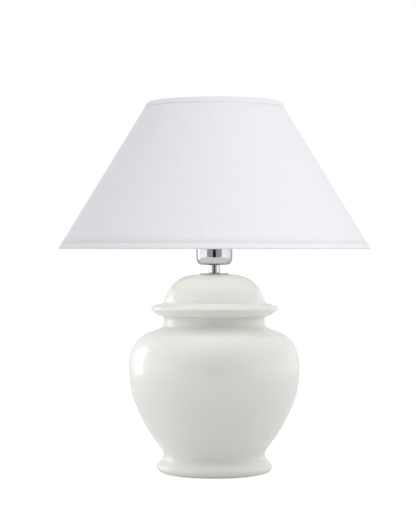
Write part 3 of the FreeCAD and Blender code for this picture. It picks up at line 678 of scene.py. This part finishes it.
@dataclass
class GingerJar:
    """The ceramic jar, its lid and the bush in its foot."""

    side: Profile = (
        (49.5, 1.4), (56.0, 0.9), (59.9, 1.1), (62.3, 4.7), (61.8, 7.8), (58.2, 11.6), (54.8, 15.5),
        (54.2, 18.8), (55.0, 22.9), (58.7, 27.8), (64.3, 35.2), (71.8, 45.8), (81.2, 64.1), (88.6, 82.4),
        (91.4, 99.9), (91.2, 117.9), (88.2, 131.2), (81.8, 141.9), (72.9, 148.3), (60.5, 152.2),
        (53.5, 155.6), (53.8, 159.1), (53.8, 163.0), (54.0, 165.5), (56.3, 167.0),
    )
    hollow: Profile = (
        (50.5, 167.0), (47.2, 166.6), (47.2, 160.0), (47.2, 152.0), (49.5, 147.5), (66.5, 144.5),
        (78.0, 135.5), (85.0, 122.0), (86.6, 106.0), (84.5, 90.0), (77.5, 69.0), (67.0, 48.5),
        (57.5, 33.0), (51.0, 25.0), (46.0, 21.2), (34.0, 21.0), (22.0, 21.0), (21.0, 18.5), (22.0, 16.0),
        (34.0, 16.0), (47.0, 15.8), (48.5, 14.0), (48.5, 4.0),
    )
    lid: Profile = (
        (43.1, 162.3), (46.7, 162.3), (46.7, 164.5), (46.8, 167.6), (50.0, 167.9), (53.6, 168.0),
        (54.4, 166.3), (58.4, 166.6), (62.4, 169.2), (66.4, 172.3), (67.9, 174.8), (66.9, 177.3),
        (61.3, 179.0), (56.3, 179.4), (53.8, 181.6), (53.9, 183.2), (50.7, 190.2), (48.7, 195.6),
        (44.0, 200.9), (37.8, 206.4), (27.5, 210.3), (17.2, 211.3), (6.8, 211.3), (5.3, 210.8),
        (5.3, 209.0), (5.5, 206.8), (15.0, 206.6), (26.0, 206.4), (36.0, 203.0), (43.0, 196.5),
        (46.3, 190.0), (48.8, 183.0), (49.0, 179.5), (46.5, 174.0), (43.5, 171.0), (43.1, 168.0),
    )
    cord_hole_r: float = 4.6
    drill_long: float = 40.0
    bush_bore_r: float = 3.3
    bush_flange_r: float = 6.2
    bush_flange_thick: float = 1.4
    bush_long: float = 17.0

    def build(self) -> None:
        """Builds the jar with its cord hole, the lid and the bush."""
        jar = Piece("glazed_jar", Rig.STAND, Finishes.GLAZE, "glaze", ("jar_body",))
        made = jar.publish(turn(self.side + self.hollow, Detail.LARGE), Detail.LARGE.levels)
        settle(made)
        bore_through(made, self.cord_drill())
        lid = Piece("glazed_lid", Rig.STAND, Finishes.GLAZE, "glaze", ("jar_lid",))
        lid.publish(turn(self.lid, Detail.LARGE), Detail.LARGE.levels)
        self.bush()

    def hole_centre(self) -> Vector:
        """Middle of the bush, from the frame, in metres."""
        low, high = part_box("cord_bush")
        return (low + high) / 2.0

    def cord_drill(self) -> Mesh:
        """The cylinder that is cut out of the back of the foot."""
        drill, wide = bmesh.new(), self.cord_hole_r * MM
        level = Matrix.Rotation(math.pi / 2.0, 4, "X")
        size = {"radius1": wide, "radius2": wide, "depth": self.drill_long * MM}
        bmesh.ops.create_cone(drill, cap_ends=True, segments=48, matrix=level, **size)
        bmesh.ops.translate(drill, verts=drill.verts, vec=self.hole_centre())
        return drill

    def bush(self) -> None:
        """The nylon bush: flange inside, barrel through the wall, rounded mouth outside."""
        half, bore, barrel = self.bush_long / 2.0, self.bush_bore_r, self.cord_hole_r - 0.1
        flange = self.bush_flange_thick - half
        section = [
            (bore, -half), (self.bush_flange_r, -half), (self.bush_flange_r, flange),
            (barrel, flange), (barrel, half - 0.2), (barrel - 0.2, half), (bore, half),
        ]
        mesh = ease(turn(section, Detail.SMALL), 0.35)
        swivel(mesh, -math.pi / 2.0, "X")
        bmesh.ops.translate(mesh, verts=mesh.verts, vec=self.hole_centre())
        Piece("nylon_cord_bush", Rig.STAND, Finishes.NYLON, "bush", ("cord_bush",)).publish(mesh, 1)


@dataclass
class Underside:
    """The felt disc under the foot."""

    thick: float = 1.0
    radius: float = 54.0

    def build(self) -> None:
        """Builds the felt with a soft, slightly uneven cut edge."""
        mesh = ease(turn(oblong(0.0, self.radius, 0.0, self.thick), Detail.FLAT), 0.25)
        for vert in mesh.verts:
            spoke = math.atan2(vert.co.y, vert.co.x)
            if vert.co.xy.length > 0.9 * self.radius * MM:
                vert.co.xy *= 1.0 - 0.0016 * (1.0 + math.sin(31.0 * spoke) * math.sin(7.0 * spoke + 1.0))
        Piece("felt_pad", Rig.STAND, Finishes.FELT, "felt", ("felt_disc",)).publish(mesh)


# ------------------------------------------------------------------ lampholder


@dataclass
class Lampholder:
    """The chromed washer, neck tube, cup and threaded skirt, with the two rings that hold the shade."""

    washer_r: float = 15.0
    washer_z: tuple[float, float] = (211.2, 212.4)
    neck_r: tuple[float, float] = (5.2, 6.0)
    cup: Profile = (
        (6.0, 221.5), (11.5, 221.5), (14.6, 221.5), (17.0, 222.6), (18.6, 225.6), (19.1, 228.8),
        (19.2, 232.0), (19.2, 236.0), (19.2, 241.0), (19.2, 244.6), (19.2, 246.0), (18.2, 246.0),
        (18.2, 244.0), (18.2, 236.0), (18.1, 230.0), (17.2, 226.2), (14.6, 223.5), (11.0, 223.4),
        (6.0, 223.4), (5.1, 223.0), (5.1, 221.8),
    )
    skirt_r: float = 19.6
    skirt_root_r: float = 19.0
    skirt_bore_r: float = 18.4
    skirt_pitch: float = 2.5
    mouth_tall: float = 2.0
    spigot_r: tuple[float, float] = (17.3, 18.0)
    spigot_tall: float = 6.0
    flange_r: float = 20.8
    flange_z: tuple[float, float] = (246.0, 248.0)
    skirt_top: float = 282.5
    lip_r: float = 15.6
    ring_r: float = 27.5
    washer_bore: float = 20.4
    hub_r: float = 23.0
    plate: float = 2.0
    hub: float = 4.0
    thread_gap: float = 0.05
    grips: int = 24
    grip_deep: float = 0.8

    def build(self) -> None:
        """Builds the lampholder from the lid up."""
        self.neck()
        cup = Piece("chromed_cup", Rig.STAND, Finishes.CHROME, "chrome", ("lampholder_cup",))
        cup.publish(turn(self.cup, Detail.SMALL), Detail.SMALL.levels)
        self.skirt()
        self.shade_ring("support_ring_chromed", Rig.STAND, "support_ring", True)
        self.shade_ring("clamp_ring_chromed", Rig.CLAMP, "clamp_ring", False)
        self.fibre_washer()

    def neck(self) -> None:
        """The washer on the lid and the tube above it."""
        bore, outer = self.neck_r
        washer = Piece("chromed_washer", Rig.STAND, Finishes.CHROME, "chrome", ("crown_washer",))
        flat = turn(oblong(bore, self.washer_r, *self.washer_z), Detail.SMALL)
        washer.publish(ease(flat, 0.4), Detail.SMALL.levels)
        tube = Piece("chromed_neck", Rig.STAND, Finishes.CHROME, "chrome", ("neck_tube",))
        tall = turn(oblong(bore, outer, *span("neck_tube")), Detail.SMALL)
        tube.publish(ease(tall, 0.25), Detail.SMALL.levels)

    def skirt(self) -> None:
        """The shell above the cup: spigot, flange, coarse thread and a lip round the mouth."""
        foot, top = self.flange_z
        mouth_z, root, bore = self.skirt_top - self.mouth_tall, self.skirt_root_r, self.skirt_bore_r
        ridge = thread(self.skirt_r, root, self.skirt_pitch, 8)
        body = screw(ridge, self.skirt_pitch, top - 0.3, mouth_z, bore)
        inner, spigot = self.spigot_r
        flange = [(inner, foot - self.spigot_tall), (spigot, foot - self.spigot_tall), (spigot, foot)]
        flange += [(self.flange_r, foot), (self.flange_r, top), (inner, top)]
        end, lip = self.skirt_top, self.lip_r
        mouth = [(bore, mouth_z), (root, mouth_z), (root, end - 0.8), (root - 0.8, end)]
        mouth += [(lip, end), (lip, end - 1.0), (bore, end - 1.0)]
        parts = join(body, ease(turn(flange, Detail.FLAT), 0.3), ease(turn(mouth, Detail.FLAT), 0.2))
        skirt = Piece("threaded_skirt", Rig.STAND, Finishes.CHROME, "chrome", ("lampholder_skirt",))
        skirt.publish(parts)

    def shade_ring(self, name: str, rig: Rig, node: str, hub_below: bool) -> None:
        """A ring with a notched plate and a hub.

        Args:
            name: the piece's name.
            rig: the body it rides on.
            node: the frame node it stands for.
            hub_below: whether the hub is under the plate.
        """
        bore = self.skirt_r + self.thread_gap
        foot, _ = span(node)
        top = foot + self.plate + self.hub
        step = foot + (self.hub if hub_below else self.plate)
        if hub_below:
            section = [(bore, foot), (self.hub_r, foot), (self.hub_r, step), (self.ring_r, step)]
            section += [(self.ring_r, top), (bore, top)]
        else:
            section = [(bore, foot), (self.ring_r, foot), (self.ring_r, step), (self.hub_r, step)]
            section += [(self.hub_r, top), (bore, top)]
        mesh = ease(turn(section, Detail.FLAT), 0.35, segments=3)
        for vert in mesh.verts:
            if vert.co.xy.length > (self.ring_r - 0.5) * MM:
                spoke = math.atan2(vert.co.y, vert.co.x)
                notch = max(0.0, math.cos(self.grips * spoke)) ** 2
                vert.co.xy *= 1.0 - notch * self.grip_deep / self.ring_r
        Piece(name, rig, Finishes.CHROME, "chrome", (node,)).publish(mesh)

    def fibre_washer(self) -> None:
        """The fibre washer under the clamp ring."""
        section = oblong(self.washer_bore, self.ring_r, *span("clamp_washer"))
        washer = Piece("fibre_washer", Rig.CLAMP_WASHER, Finishes.FIBRE, "fibre", ("clamp_washer",))
        washer.publish(ease(turn(section, Detail.FLAT), 0.15))


# ------------------------------------------------------------------ bulb


@dataclass
class Bulb:
    """The screw-in bulb: contact, black glass, rolled cap, housing and opal globe."""

    cap_r: float = 13.1
    cap_root_r: float = 12.2
    cap_pitch: float = 3.6
    cap_wall: float = 0.3
    globe: Profile = (
        (26.5, 318.0), (28.2, 322.5), (30.2, 331.0), (30.1, 341.0), (27.6, 351.5), (21.4, 360.8),
        (12.0, 367.2), (4.0, 368.4), (0.0, 368.4), (0.0, 367.0), (4.0, 367.0), (11.6, 366.0),
        (20.6, 359.9), (26.5, 351.0), (28.9, 341.0), (29.0, 331.0), (27.0, 322.5), (25.3, 318.0),
    )
    housing: Profile = (
        (11.3, 280.2), (12.3, 280.2), (12.4, 285.4), (13.8, 286.0), (14.4, 287.4), (14.8, 293.0),
        (16.6, 301.0), (21.4, 309.6), (25.4, 314.6), (26.5, 317.2), (26.5, 318.0), (25.3, 318.0),
        (25.1, 317.0), (23.8, 314.8), (20.2, 310.2), (15.4, 301.6), (13.4, 293.0), (12.2, 288.0),
        (11.3, 286.0),
    )

    def build(self) -> None:
        """Builds the bulb from its tip up."""
        foot, top = span("bulb_contact")
        tip = [(0.0, foot), (3.4, foot), (4.4, foot + 0.5), (4.6, foot + 1.2), (4.6, top), (0.0, top)]
        contact = Piece("bulb_tip", Rig.BULB_TIP, Finishes.BRASS, "bulb_contact", ("bulb_contact",))
        contact.publish(ease(turn(tip, Detail.SMALL), 0.2), 1)
        foot, top = span("bulb_insulator")
        cone = [(0.0, foot), (5.2, foot), (8.0, foot + 0.9), (11.7, top), (0.0, top)]
        glass = Piece("bulb_black_glass", Rig.BULB, Finishes.BLACK_GLASS, "bulb_black", ("bulb_insulator",))
        glass.publish(ease(turn(cone, Detail.SMALL), 0.2), 1)
        self.cap()
        shell = Piece("bulb_cone", Rig.BULB, Finishes.PLASTIC, "bulb_white", ("bulb_housing",))
        shell.publish(turn(self.housing, Detail.SMALL), Detail.SMALL.levels)
        opal = Piece("opal_globe", Rig.BULB, Finishes.OPAL, "opal", ("bulb_globe",))
        opal.publish(turn(self.globe, Detail.SMALL), Detail.SMALL.levels)

    def cap(self) -> None:
        """The aluminium cap with its rolled thread."""
        foot, top = span("bulb_cap")
        root = self.cap_root_r
        bore = root - self.cap_wall
        ridge = thread(self.cap_r, root, self.cap_pitch, 10)
        rolled = screw(ridge, self.cap_pitch, foot + 2.4, top - 4.6, bore)
        heel = [(0.0, foot), (11.6, foot), (root, foot + 2.4), (bore, foot + 2.6), (0.0, foot + 2.6)]
        collar = [
            (bore, top - 4.7), (root, top - 4.7), (root + 0.3, top - 3.0),
            (self.cap_r - 0.1, top - 1.6), (13.8, top - 0.2), (13.6, top), (12.5, top), (12.5, top - 3.0),
        ]
        whole = join(rolled, turn(heel, Detail.FLAT), ease(turn(collar, Detail.FLAT), 0.15))
        Piece("rolled_cap", Rig.BULB, Finishes.ALUMINIUM, "bulb_cap", ("bulb_cap",)).publish(whole)


# ------------------------------------------------------------------ shade


@dataclass
class EmpireShade:
    """The shade: cotton on stiff film, rolled hems over wire rings, and the fitter with its three arms."""

    foot_z: float = 238.3
    top_z: float = 395.0
    foot_r: float = 166.5
    top_r: float = 71.0
    cloth: float = 0.7
    film: float = 0.8
    hem: float = 0.5
    hem_tall: float = 6.0
    hem_inside: float = 1.8
    hem_roll: float = 2.1
    tuck: float = 0.95
    wire_r: float = 1.5
    wire_gap: float = 0.12
    lap_deg: float = 4.4
    lap_thick: float = 0.35
    lap_sunk: float = 0.15
    fitter_r: tuple[float, float] = (20.4, 30.5)
    knee_r: float = 40.0
    arms: int = 3

    @property
    def lean(self) -> float:
        """How much the radius shrinks for each millimetre of height."""
        return (self.foot_r - self.top_r) / (self.top_z - self.foot_z)

    @property
    def sine(self) -> float:
        """Sine of the cone's half angle."""
        return self.lean / math.hypot(1.0, self.lean)

    def radius(self, height: float, inset: float = 0.0) -> float:
        """Radius of the cone at a height, inset towards the axis."""
        return self.foot_r - self.lean * (height - self.foot_z) - inset

    def build(self) -> None:
        """Builds the shade from the cloth inwards."""
        cotton = Piece("cotton_cover", Rig.SHADE, Finishes.COTTON, "shade_cloth", ("shade_fabric",))
        cover = cotton.publish(self.lay_flat(self.skin(0.0, self.cloth)))
        film = Piece("film_lining", Rig.SHADE, Finishes.FILM, "shade_liner", ("shade_liner",))
        film.publish(self.lay_flat(self.skin(self.cloth, self.film)))
        lap = Piece("back_lap", Rig.SHADE, Finishes.COTTON, "shade_cloth")
        lap_made = lap.publish(self.lay_flat(self.lap()))
        lower, upper = self.hem_mesh(self.foot_z, 1.0), self.hem_mesh(self.top_z, -1.0)
        tape = Finishes.BIAS_TAPE
        low_hem = Piece("lower_hem", Rig.SHADE, tape, "shade_tape", ("lower_tape",)).publish(lower)
        top_hem = Piece("upper_hem", Rig.SHADE, tape, "shade_tape", ("upper_tape",)).publish(upper)
        self.rings()
        self.fitter()

    def levels(self, rows: int) -> list[float]:
        """Heights of the wall's rows, from web to web of the hems, in millimetres."""
        foot, top = self.foot_z + self.tuck, self.top_z - self.tuck
        return [foot + (top - foot) * row / rows for row in range(rows + 1)]

    def skin(self, inset: float, thick: float) -> Mesh:
        """One layer of the wall, from web to web of the hems.

        Args:
            inset: how far its outer face lies inside the cone, in millimetres.
            thick: its thickness.

        Returns:
            The closed layer.
        """
        levels = self.levels(12)
        outside = [(self.radius(level, inset), level) for level in levels]
        inside = [(self.radius(level, inset + thick), level) for level in reversed(levels)]
        return turn(outside + inside, Detail.FLAT)

    def lap(self) -> Mesh:
        """The glued overlap of the cover at the back, a thin strip with a feathered edge."""
        mesh, sunk = bmesh.new(), self.lap_sunk
        points = [mesh.verts.new((self.radius(z, sunk) * MM, 0.0, z * MM)) for z in self.levels(8)]
        for pair in zip(points, points[1:]):
            mesh.edges.new(pair)
        swivel(mesh, math.radians(90.0 - self.lap_deg / 2.0), "Z")
        sweep(mesh, 8, math.radians(self.lap_deg))
        bmesh.ops.recalc_face_normals(mesh, faces=mesh.faces)
        if sum(face.normal.y for face in mesh.faces) < 0.0:
            bmesh.ops.reverse_faces(mesh, faces=mesh.faces)
        bmesh.ops.solidify(mesh, geom=list(mesh.faces), thickness=-(self.lap_thick + sunk) * MM)
        return mesh

    def hem_mesh(self, edge: float, direction: float) -> Mesh:
        """Tape folded round an edge of the shade and its wire.

        Args:
            edge: height of the edge, in millimetres.
            direction: 1 for the lower edge, -1 for the upper one.

        Returns:
            The hem, with a UV map in metres along the tape.
        """
        depth = self.cloth + self.film + (self.wire_r * 1.19 + self.wire_gap) * 2.0
        web, outer_end = edge + self.hem * direction, edge + self.hem_tall * direction
        inner_end, roll, feather = edge + self.hem_inside * direction, self.hem_roll, 0.06
        section = []
        for step in reversed(range(6)):
            lean = math.radians(step * 18.0)
            level = edge + roll * (1.0 - math.sin(lean)) * direction
            section.append((self.radius(level, roll * (1.0 - math.cos(lean)) - self.hem), level))
        section += [
            (self.radius(edge + 3.6 * direction, -self.hem), edge + 3.6 * direction),
            (self.radius(outer_end - 1.2 * direction, -self.hem * 0.5), outer_end - 1.2 * direction),
            (self.radius(outer_end, -feather), outer_end),
            (self.radius(outer_end, 0.0), outer_end),
            (self.radius(web, 0.0), web),
            (self.radius(web, depth), web),
            (self.radius(inner_end, depth), inner_end),
            (self.radius(inner_end, depth + self.hem), inner_end),
            (self.radius(edge + 0.6 * direction, depth + self.hem), edge + 0.6 * direction),
            (self.radius(edge, depth), edge),
        ]
        mesh = turn(section, Detail.FLAT)
        layer = mesh.loops.layers.uv.new("UVMap")
        for face in mesh.faces:
            middle = self.bearing(face.calc_center_median())
            for loop in face.loops:
                spoke = self.near(self.bearing(loop.vert.co), middle)
                loop[layer].uv = (spoke * loop.vert.co.xy.length, loop.vert.co.z)
        return mesh

    def bearing(self, place: Vector) -> float:
        """Angle round the shade from the front, in radians, which jumps at the back."""
        return math.atan2(place.x, -place.y)

    def near(self, angle: float, middle: float) -> float:
        """The angle, moved by a full turn if that brings it to the same side of the back as the middle."""
        if abs(angle - middle) > math.pi:
            return angle + math.copysign(TURN, middle)
        return angle

    def lay_flat(self, mesh: Mesh) -> Mesh:
        """Gives the cone the UV map of its flat cut, in metres, so that the weave runs straight.

        Args:
            mesh: a layer of the cone.

        Returns:
            The same mesh.
        """
        layer = mesh.loops.layers.uv.new("UVMap")
        for face in mesh.faces:
            middle = self.bearing(face.calc_center_median())
            for loop in face.loops:
                swing = self.near(self.bearing(loop.vert.co), middle) * self.sine
                slant = loop.vert.co.xy.length / self.sine
                loop[layer].uv = (slant * math.sin(swing), -slant * math.cos(swing))
        return mesh

    def rings(self) -> None:
        """The two wire rings in the hems."""
        for name, node in (("lower_wire", "lower_ring"), ("upper_wire", "upper_ring")):
            low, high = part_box(node)
            height, reach = (low.z + high.z) / 2.0, high.x - self.wire_r * MM
            mesh = bmesh.new()
            wire = bmesh.ops.create_circle(mesh, segments=12, radius=self.wire_r * MM)["verts"]
            swivel(mesh, math.pi / 2.0, "X")
            bmesh.ops.translate(mesh, verts=wire, vec=(reach, 0.0, height))
            sweep(mesh, Detail.FLAT.steps, merge=True)
            bmesh.ops.recalc_face_normals(mesh, faces=mesh.faces)
            Piece(name, Rig.SHADE, Finishes.POWDER_COAT, "white_wire", (node,)).publish(mesh)

    def fitter(self) -> None:
        """The pressed ring that sits on the lampholder, and its arms with their welds."""
        foot, top = span("fitter_ring")
        bore, rim = self.fitter_r
        plate = Piece("fitter_plate", Rig.SHADE, Finishes.POWDER_COAT, "white_wire", ("fitter_ring",))
        plate.publish(ease(turn(oblong(bore, rim, foot, top), Detail.FLAT), 0.3))
        low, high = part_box("lower_ring")
        ring_r, ring_z = high.x / MM - self.wire_r, (low.z + high.z) / 2.0 / MM
        level = (foot + top) / 2.0
        start = Vector((rim - 1.8, 0.0, level))
        end = Vector((ring_r - 1.0, 0.0, ring_z + self.wire_r + 0.6))
        knee = Vector((self.knee_r, 0.0, level))
        bend = [knee + Vector((-6.0, 0.0, 0.0)), knee + Vector((-2.0, 0, -0.05)), knee.lerp(end, 0.02)]
        path = [start, *bend, knee.lerp(end, 0.05), knee.lerp(end, 0.5), end]
        parts = []
        for arm in range(self.arms):
            wire = rod(path, self.wire_r)
            for spot, size in ((start + Vector((1.4, 0, 0.2)), 2.1), (end - Vector((0.6, 0, 0.8)), 2.0)):
                bead = bmesh.new()
                bmesh.ops.create_icosphere(bead, subdivisions=3, radius=size * MM)
                bmesh.ops.scale(bead, verts=bead.verts, vec=(1.15, 1.0, 0.8))
                bmesh.ops.translate(bead, verts=bead.verts, vec=spot * MM)
                join(wire, bead)
            swivel(wire, TURN * arm / self.arms, "Z")
            parts.append(wire)
        whole = join(parts[0], *parts[1:])
        Piece("welded_arms", Rig.SHADE, Finishes.POWDER_COAT, "white_wire", ("fitter_arms",)).publish(whole)


# ------------------------------------------------------------------ parts that keep their frame mesh


@dataclass(frozen=True)
class KeptParts:
    """Frame nodes whose shape is right: each gets its finish on its own mesh."""

    finishes: tuple[tuple[str, Finish], ...] = (
        ("lid_seal", Finishes.CORK), ("base_plate", Finishes.ZINC), ("base_washer", Finishes.ZINC),
        ("base_nut", Finishes.ZINC), ("threaded_tube", Finishes.ZINC), ("holder_nut", Finishes.ZINC),
        ("socket_core", Finishes.PORCELAIN), ("screw_shell", Finishes.BRASS),
        ("centre_contact", Finishes.BRASS), ("terminal_screws", Finishes.BRASS),
        ("bulb_board", Finishes.BOARD),
    )

    def dress(self) -> None:
        """Puts each finish on its node."""
        for node, finish in self.finishes:
            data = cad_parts[node].data
            data.materials.clear()
            data.materials.append(finish.material())
            LOG.info("%s keeps its shape, in %s", node, finish.title)


# ------------------------------------------------------------------ studio


@dataclass
class Studio:
    """The floor, the soft light all round, the strip light and the camera.

    Each band is a ring of (bearing in degrees from the front, brightness); a bearing grows towards +X.
    """

    floor_size: float = 3.0
    paper: str = "#FAFAF9"
    paper_glow: float = 0.155
    paper_lift: float = 0.45
    low_band: Profile = (
        (-180.0, 1.24), (-150.0, 1.12), (-115.0, 1.20), (-80.0, 1.28), (-40.0, 0.81), (0.0, 0.16),
        (40.0, 0.13), (80.0, 0.59), (115.0, 0.88), (150.0, 1.05), (180.0, 1.24),
    )
    middle_band: Profile = (
        (-180.0, 0.76), (-120.0, 0.80), (-60.0, 0.83), (0.0, 0.05), (60.0, 0.62), (120.0, 0.77),
        (180.0, 0.76),
    )
    top_band: Profile = ((-180.0, 0.89), (0.0, 0.59), (180.0, 0.89))
    gleam_band: Profile = (
        (-180.0, 0.70), (-162.0, 0.80), (-140.0, 1.15), (-52.0, 1.27), (-46.0, 0.42), (-10.5, 0.38),
        (-8.5, 0.01), (8.5, 0.01), (10.5, 0.38), (46.0, 0.42), (52.0, 1.27), (140.0, 1.05), (162.0, 0.80),
        (180.0, 0.70),
    )
    middle_rise: tuple[float, float] = (0.15, 0.35)
    top_rise: tuple[float, float] = (0.6, 0.8)
    strip_place: Spot = (-1.06, 0.60, 0.33)
    strip_size: Point = (0.52, 0.70)
    strip_aim: float = 0.12
    strip_glow: float = 1.2
    key_place: Spot = (0.85, -1.25, 0.9)
    key_size: Point = (0.9, 0.9)
    key_aim: float = 0.31
    key_glow: float = 4.6
    overheads: tuple[tuple[float, float, float, float], ...] = (
        (-0.9, -0.3, 1.0, 1.15),
        (0.9, -0.3, 1.0, 1.40),
        (0.0, 0.0, 1.4, 0.56),
    )
    overhead_size: Point = (1.2, 1.2)
    overhead_aim: float = 0.15
    camera_back: float = 1.75
    camera_side: float = -0.0068
    camera_high: float = 0.2383
    aim_high: float = 0.2265
    lens: float = 113.2
    shade_pieces: tuple[str, ...] = ("cotton_cover", "back_lap", "lower_hem", "upper_hem")
    stand_pieces: tuple[str, ...] = (
        "glazed_jar",
        "glazed_lid",
        "chromed_washer",
        "chromed_neck",
        "chromed_cup",
    )

    def build(self) -> None:
        """Builds the floor, the sky and the camera; the lights come last, once there is a lamp to light."""
        self.floor()
        self.sky()
        self.camera()
        bpy.context.scene.view_settings.view_transform = "Standard"

    def floor(self) -> None:
        """A wide sheet of white paper under the lamp, lit from below a little so that it shows white."""
        mesh, data = bmesh.new(), bpy.data.meshes.new("floor")
        bmesh.ops.create_grid(mesh, x_segments=1, y_segments=1, size=self.floor_size / 2.0)
        mesh.to_mesh(data)
        mesh.free()
        made = bpy.data.objects.new("floor", data)
        bpy.context.scene.collection.objects.link(made)
        paper = bpy.data.materials.new("white_paper")
        paper.use_nodes = True
        tree = paper.node_tree
        surface = tree.nodes["Principled BSDF"]
        surface.inputs["Base Color"].default_value = linear(self.paper)
        surface.inputs["Roughness"].default_value = 0.9
        surface.inputs["Specular IOR Level"].default_value = 0.1
        surface.inputs["Emission Color"].default_value = linear(self.paper)
        path = add(tree, "ShaderNodeLightPath")
        lift = {"operation": "MULTIPLY_ADD", 1: self.paper_lift, 2: self.paper_glow}
        glow = add(tree, "ShaderNodeMath", lift, {0: path.outputs["Is Camera Ray"]})
        tree.links.new(glow.outputs[0], surface.inputs["Emission Strength"])
        data.materials.append(paper)

    def band(self, tree: Tree, share: Socket, ring: Profile, peak: float) -> Socket:
        """Turns a ring of brightnesses into a colour ramp round the horizon.

        Args:
            tree: the world's node tree.
            share: the bearing as a share of a turn, where 0.5 is the front.
            ring: (bearing, brightness) pairs.
            peak: the brightness that the ramp's white stands for.

        Returns:
            The ramp's colour.
        """
        stops = [(bearing / 360.0 + 0.5, grey(glow / peak)) for bearing, glow in ring]
        return add(tree, "ShaderNodeValToRGB", {"stops": stops}, {"Fac": share}).outputs["Color"]

    def sky(self) -> None:
        """Soft light from all round: a low band, a high band, and plain white behind the lamp."""
        world = bpy.data.worlds.new("studio")
        bpy.context.scene.world = world
        world.use_nodes = True
        tree = world.node_tree
        tree.nodes.clear()
        place = add(tree, "ShaderNodeTexCoord")
        parts = add(tree, "ShaderNodeSeparateXYZ", links={0: place.outputs["Generated"]})
        ahead = add(tree, "ShaderNodeMath", {"operation": "MULTIPLY", 1: -1.0}, {0: parts.outputs["Y"]})
        sides = {0: parts.outputs["X"], 1: ahead.outputs[0]}
        bearing = add(tree, "ShaderNodeMath", {"operation": "ARCTAN2"}, sides)
        to_share = {"operation": "MULTIPLY_ADD", 1: 1.0 / TURN, 2: 0.5}
        share = add(tree, "ShaderNodeMath", to_share, {0: bearing.outputs[0]})
        rings = (self.low_band, self.middle_band, self.top_band, self.gleam_band)
        peak = max(glow for ring in rings for _, glow in ring)
        low, middle, top, gleam = (self.band(tree, share.outputs[0], ring, peak) for ring in rings)
        path = add(tree, "ShaderNodeLightPath")
        mixed = {0: path.outputs["Is Glossy Ray"], 6: low, 7: gleam}
        colour = add(tree, "ShaderNodeMix", {"data_type": "RGBA"}, mixed).outputs[2]
        for upper, (start, end) in ((middle, self.middle_rise), (top, self.top_rise)):
            step = {"interpolation_type": "SMOOTHSTEP", "From Min": start, "From Max": end}
            climb = add(tree, "ShaderNodeMapRange", step, {"Value": parts.outputs["Z"]})
            blend = {0: climb.outputs[0], 6: colour, 7: upper}
            colour = add(tree, "ShaderNodeMix", {"data_type": "RGBA"}, blend).outputs[2]
        soft = add(tree, "ShaderNodeBackground", {"Strength": peak}, {"Color": colour})
        white = add(tree, "ShaderNodeBackground", {"Color": grey(1.0), "Strength": 1.0})
        sight = {0: path.outputs["Is Camera Ray"], 1: soft.outputs[0], 2: white.outputs[0]}
        both = add(tree, "ShaderNodeMixShader", links=sight)
        add(tree, "ShaderNodeOutputWorld", links={"Surface": both.outputs[0]})

    def lights(self) -> None:
        """The strip that shows in the glaze, the key on the shade and the boxes over the jar."""
        place, size = self.strip_place, self.strip_size
        strip = self.soft_box("strip_left", place, size, self.strip_aim, self.strip_glow)
        strip.visible_diffuse = False
        key = self.soft_box("key_right", self.key_place, self.key_size, self.key_aim, self.key_glow)
        key.visible_glossy = False
        key.light_linking.receiver_collection = self.group("lit_by_key", self.shade_pieces)
        stand = self.group("lit_from_above", self.stand_pieces)
        for number, (x, y, z, glow) in enumerate(self.overheads):
            top = self.soft_box(f"overhead_{number}", (x, y, z), self.overhead_size, self.overhead_aim, glow)
            top.visible_glossy = False
            top.data.cycles.use_multiple_importance_sampling = False
            top.light_linking.receiver_collection = stand
            top.light_linking.blocker_collection = stand

    def group(self, name: str, pieces: tuple[str, ...]) -> bpy.types.Collection:
        """Gathers pieces that one light is for.

        Args:
            name: the collection's name.
            pieces: the pieces' names.

        Returns:
            The collection.
        """
        made = bpy.data.collections.new(name)
        for piece in pieces:
            made.objects.link(bpy.data.objects[piece])
        return made

    def soft_box(
        self, name: str, place: Spot, size: Point, aim: float, glow: float
    ) -> Thing:
        """Adds a soft box that faces the lamp's axis.

        Args:
            name: its name.
            place: where it stands, in metres.
            size: its width and height, in metres.
            aim: the height on the axis that it faces, in metres.
            glow: brightness of its face, where 1 is white.

        Returns:
            The light, unseen by the camera.
        """
        data = bpy.data.lights.new(name, "AREA")
        data.shape = "RECTANGLE"
        data.size, data.size_y = size
        data.energy = glow * math.pi * size[0] * size[1]
        made = bpy.data.objects.new(name, data)
        made.location = place
        made.rotation_mode = "QUATERNION"
        made.rotation_quaternion = (Vector((0.0, 0.0, aim)) - made.location).to_track_quat("-Z", "Y")
        made.visible_camera = False
        bpy.context.scene.collection.objects.link(made)
        return made

    def camera(self) -> None:
        """The camera, level with the shade's lower edge."""
        data = bpy.data.cameras.new("camera")
        data.lens, data.sensor_width = self.lens, 36.0
        made = bpy.data.objects.new("camera", data)
        made.location = (self.camera_side, -self.camera_back, self.camera_high)
        aim = Vector((self.camera_side, 0.0, self.aim_high))
        made.rotation_mode = "QUATERNION"
        made.rotation_quaternion = (aim - made.location).to_track_quat("-Z", "Y")
        bpy.context.scene.collection.objects.link(made)
        bpy.context.scene.camera = made


# ------------------------------------------------------------------ build


def main() -> None:
    """Builds the studio and every sub-assembly, and reports each piece."""
    logging.basicConfig(level=logging.INFO, format="%(message)s")
    studio = Studio()
    for part in (studio, GingerJar(), Underside(), Lampholder(), Bulb(), EmpireShade()):
        part.build()
    studio.lights()
    KeptParts().dress()


if __name__ == "__main__":
    main()
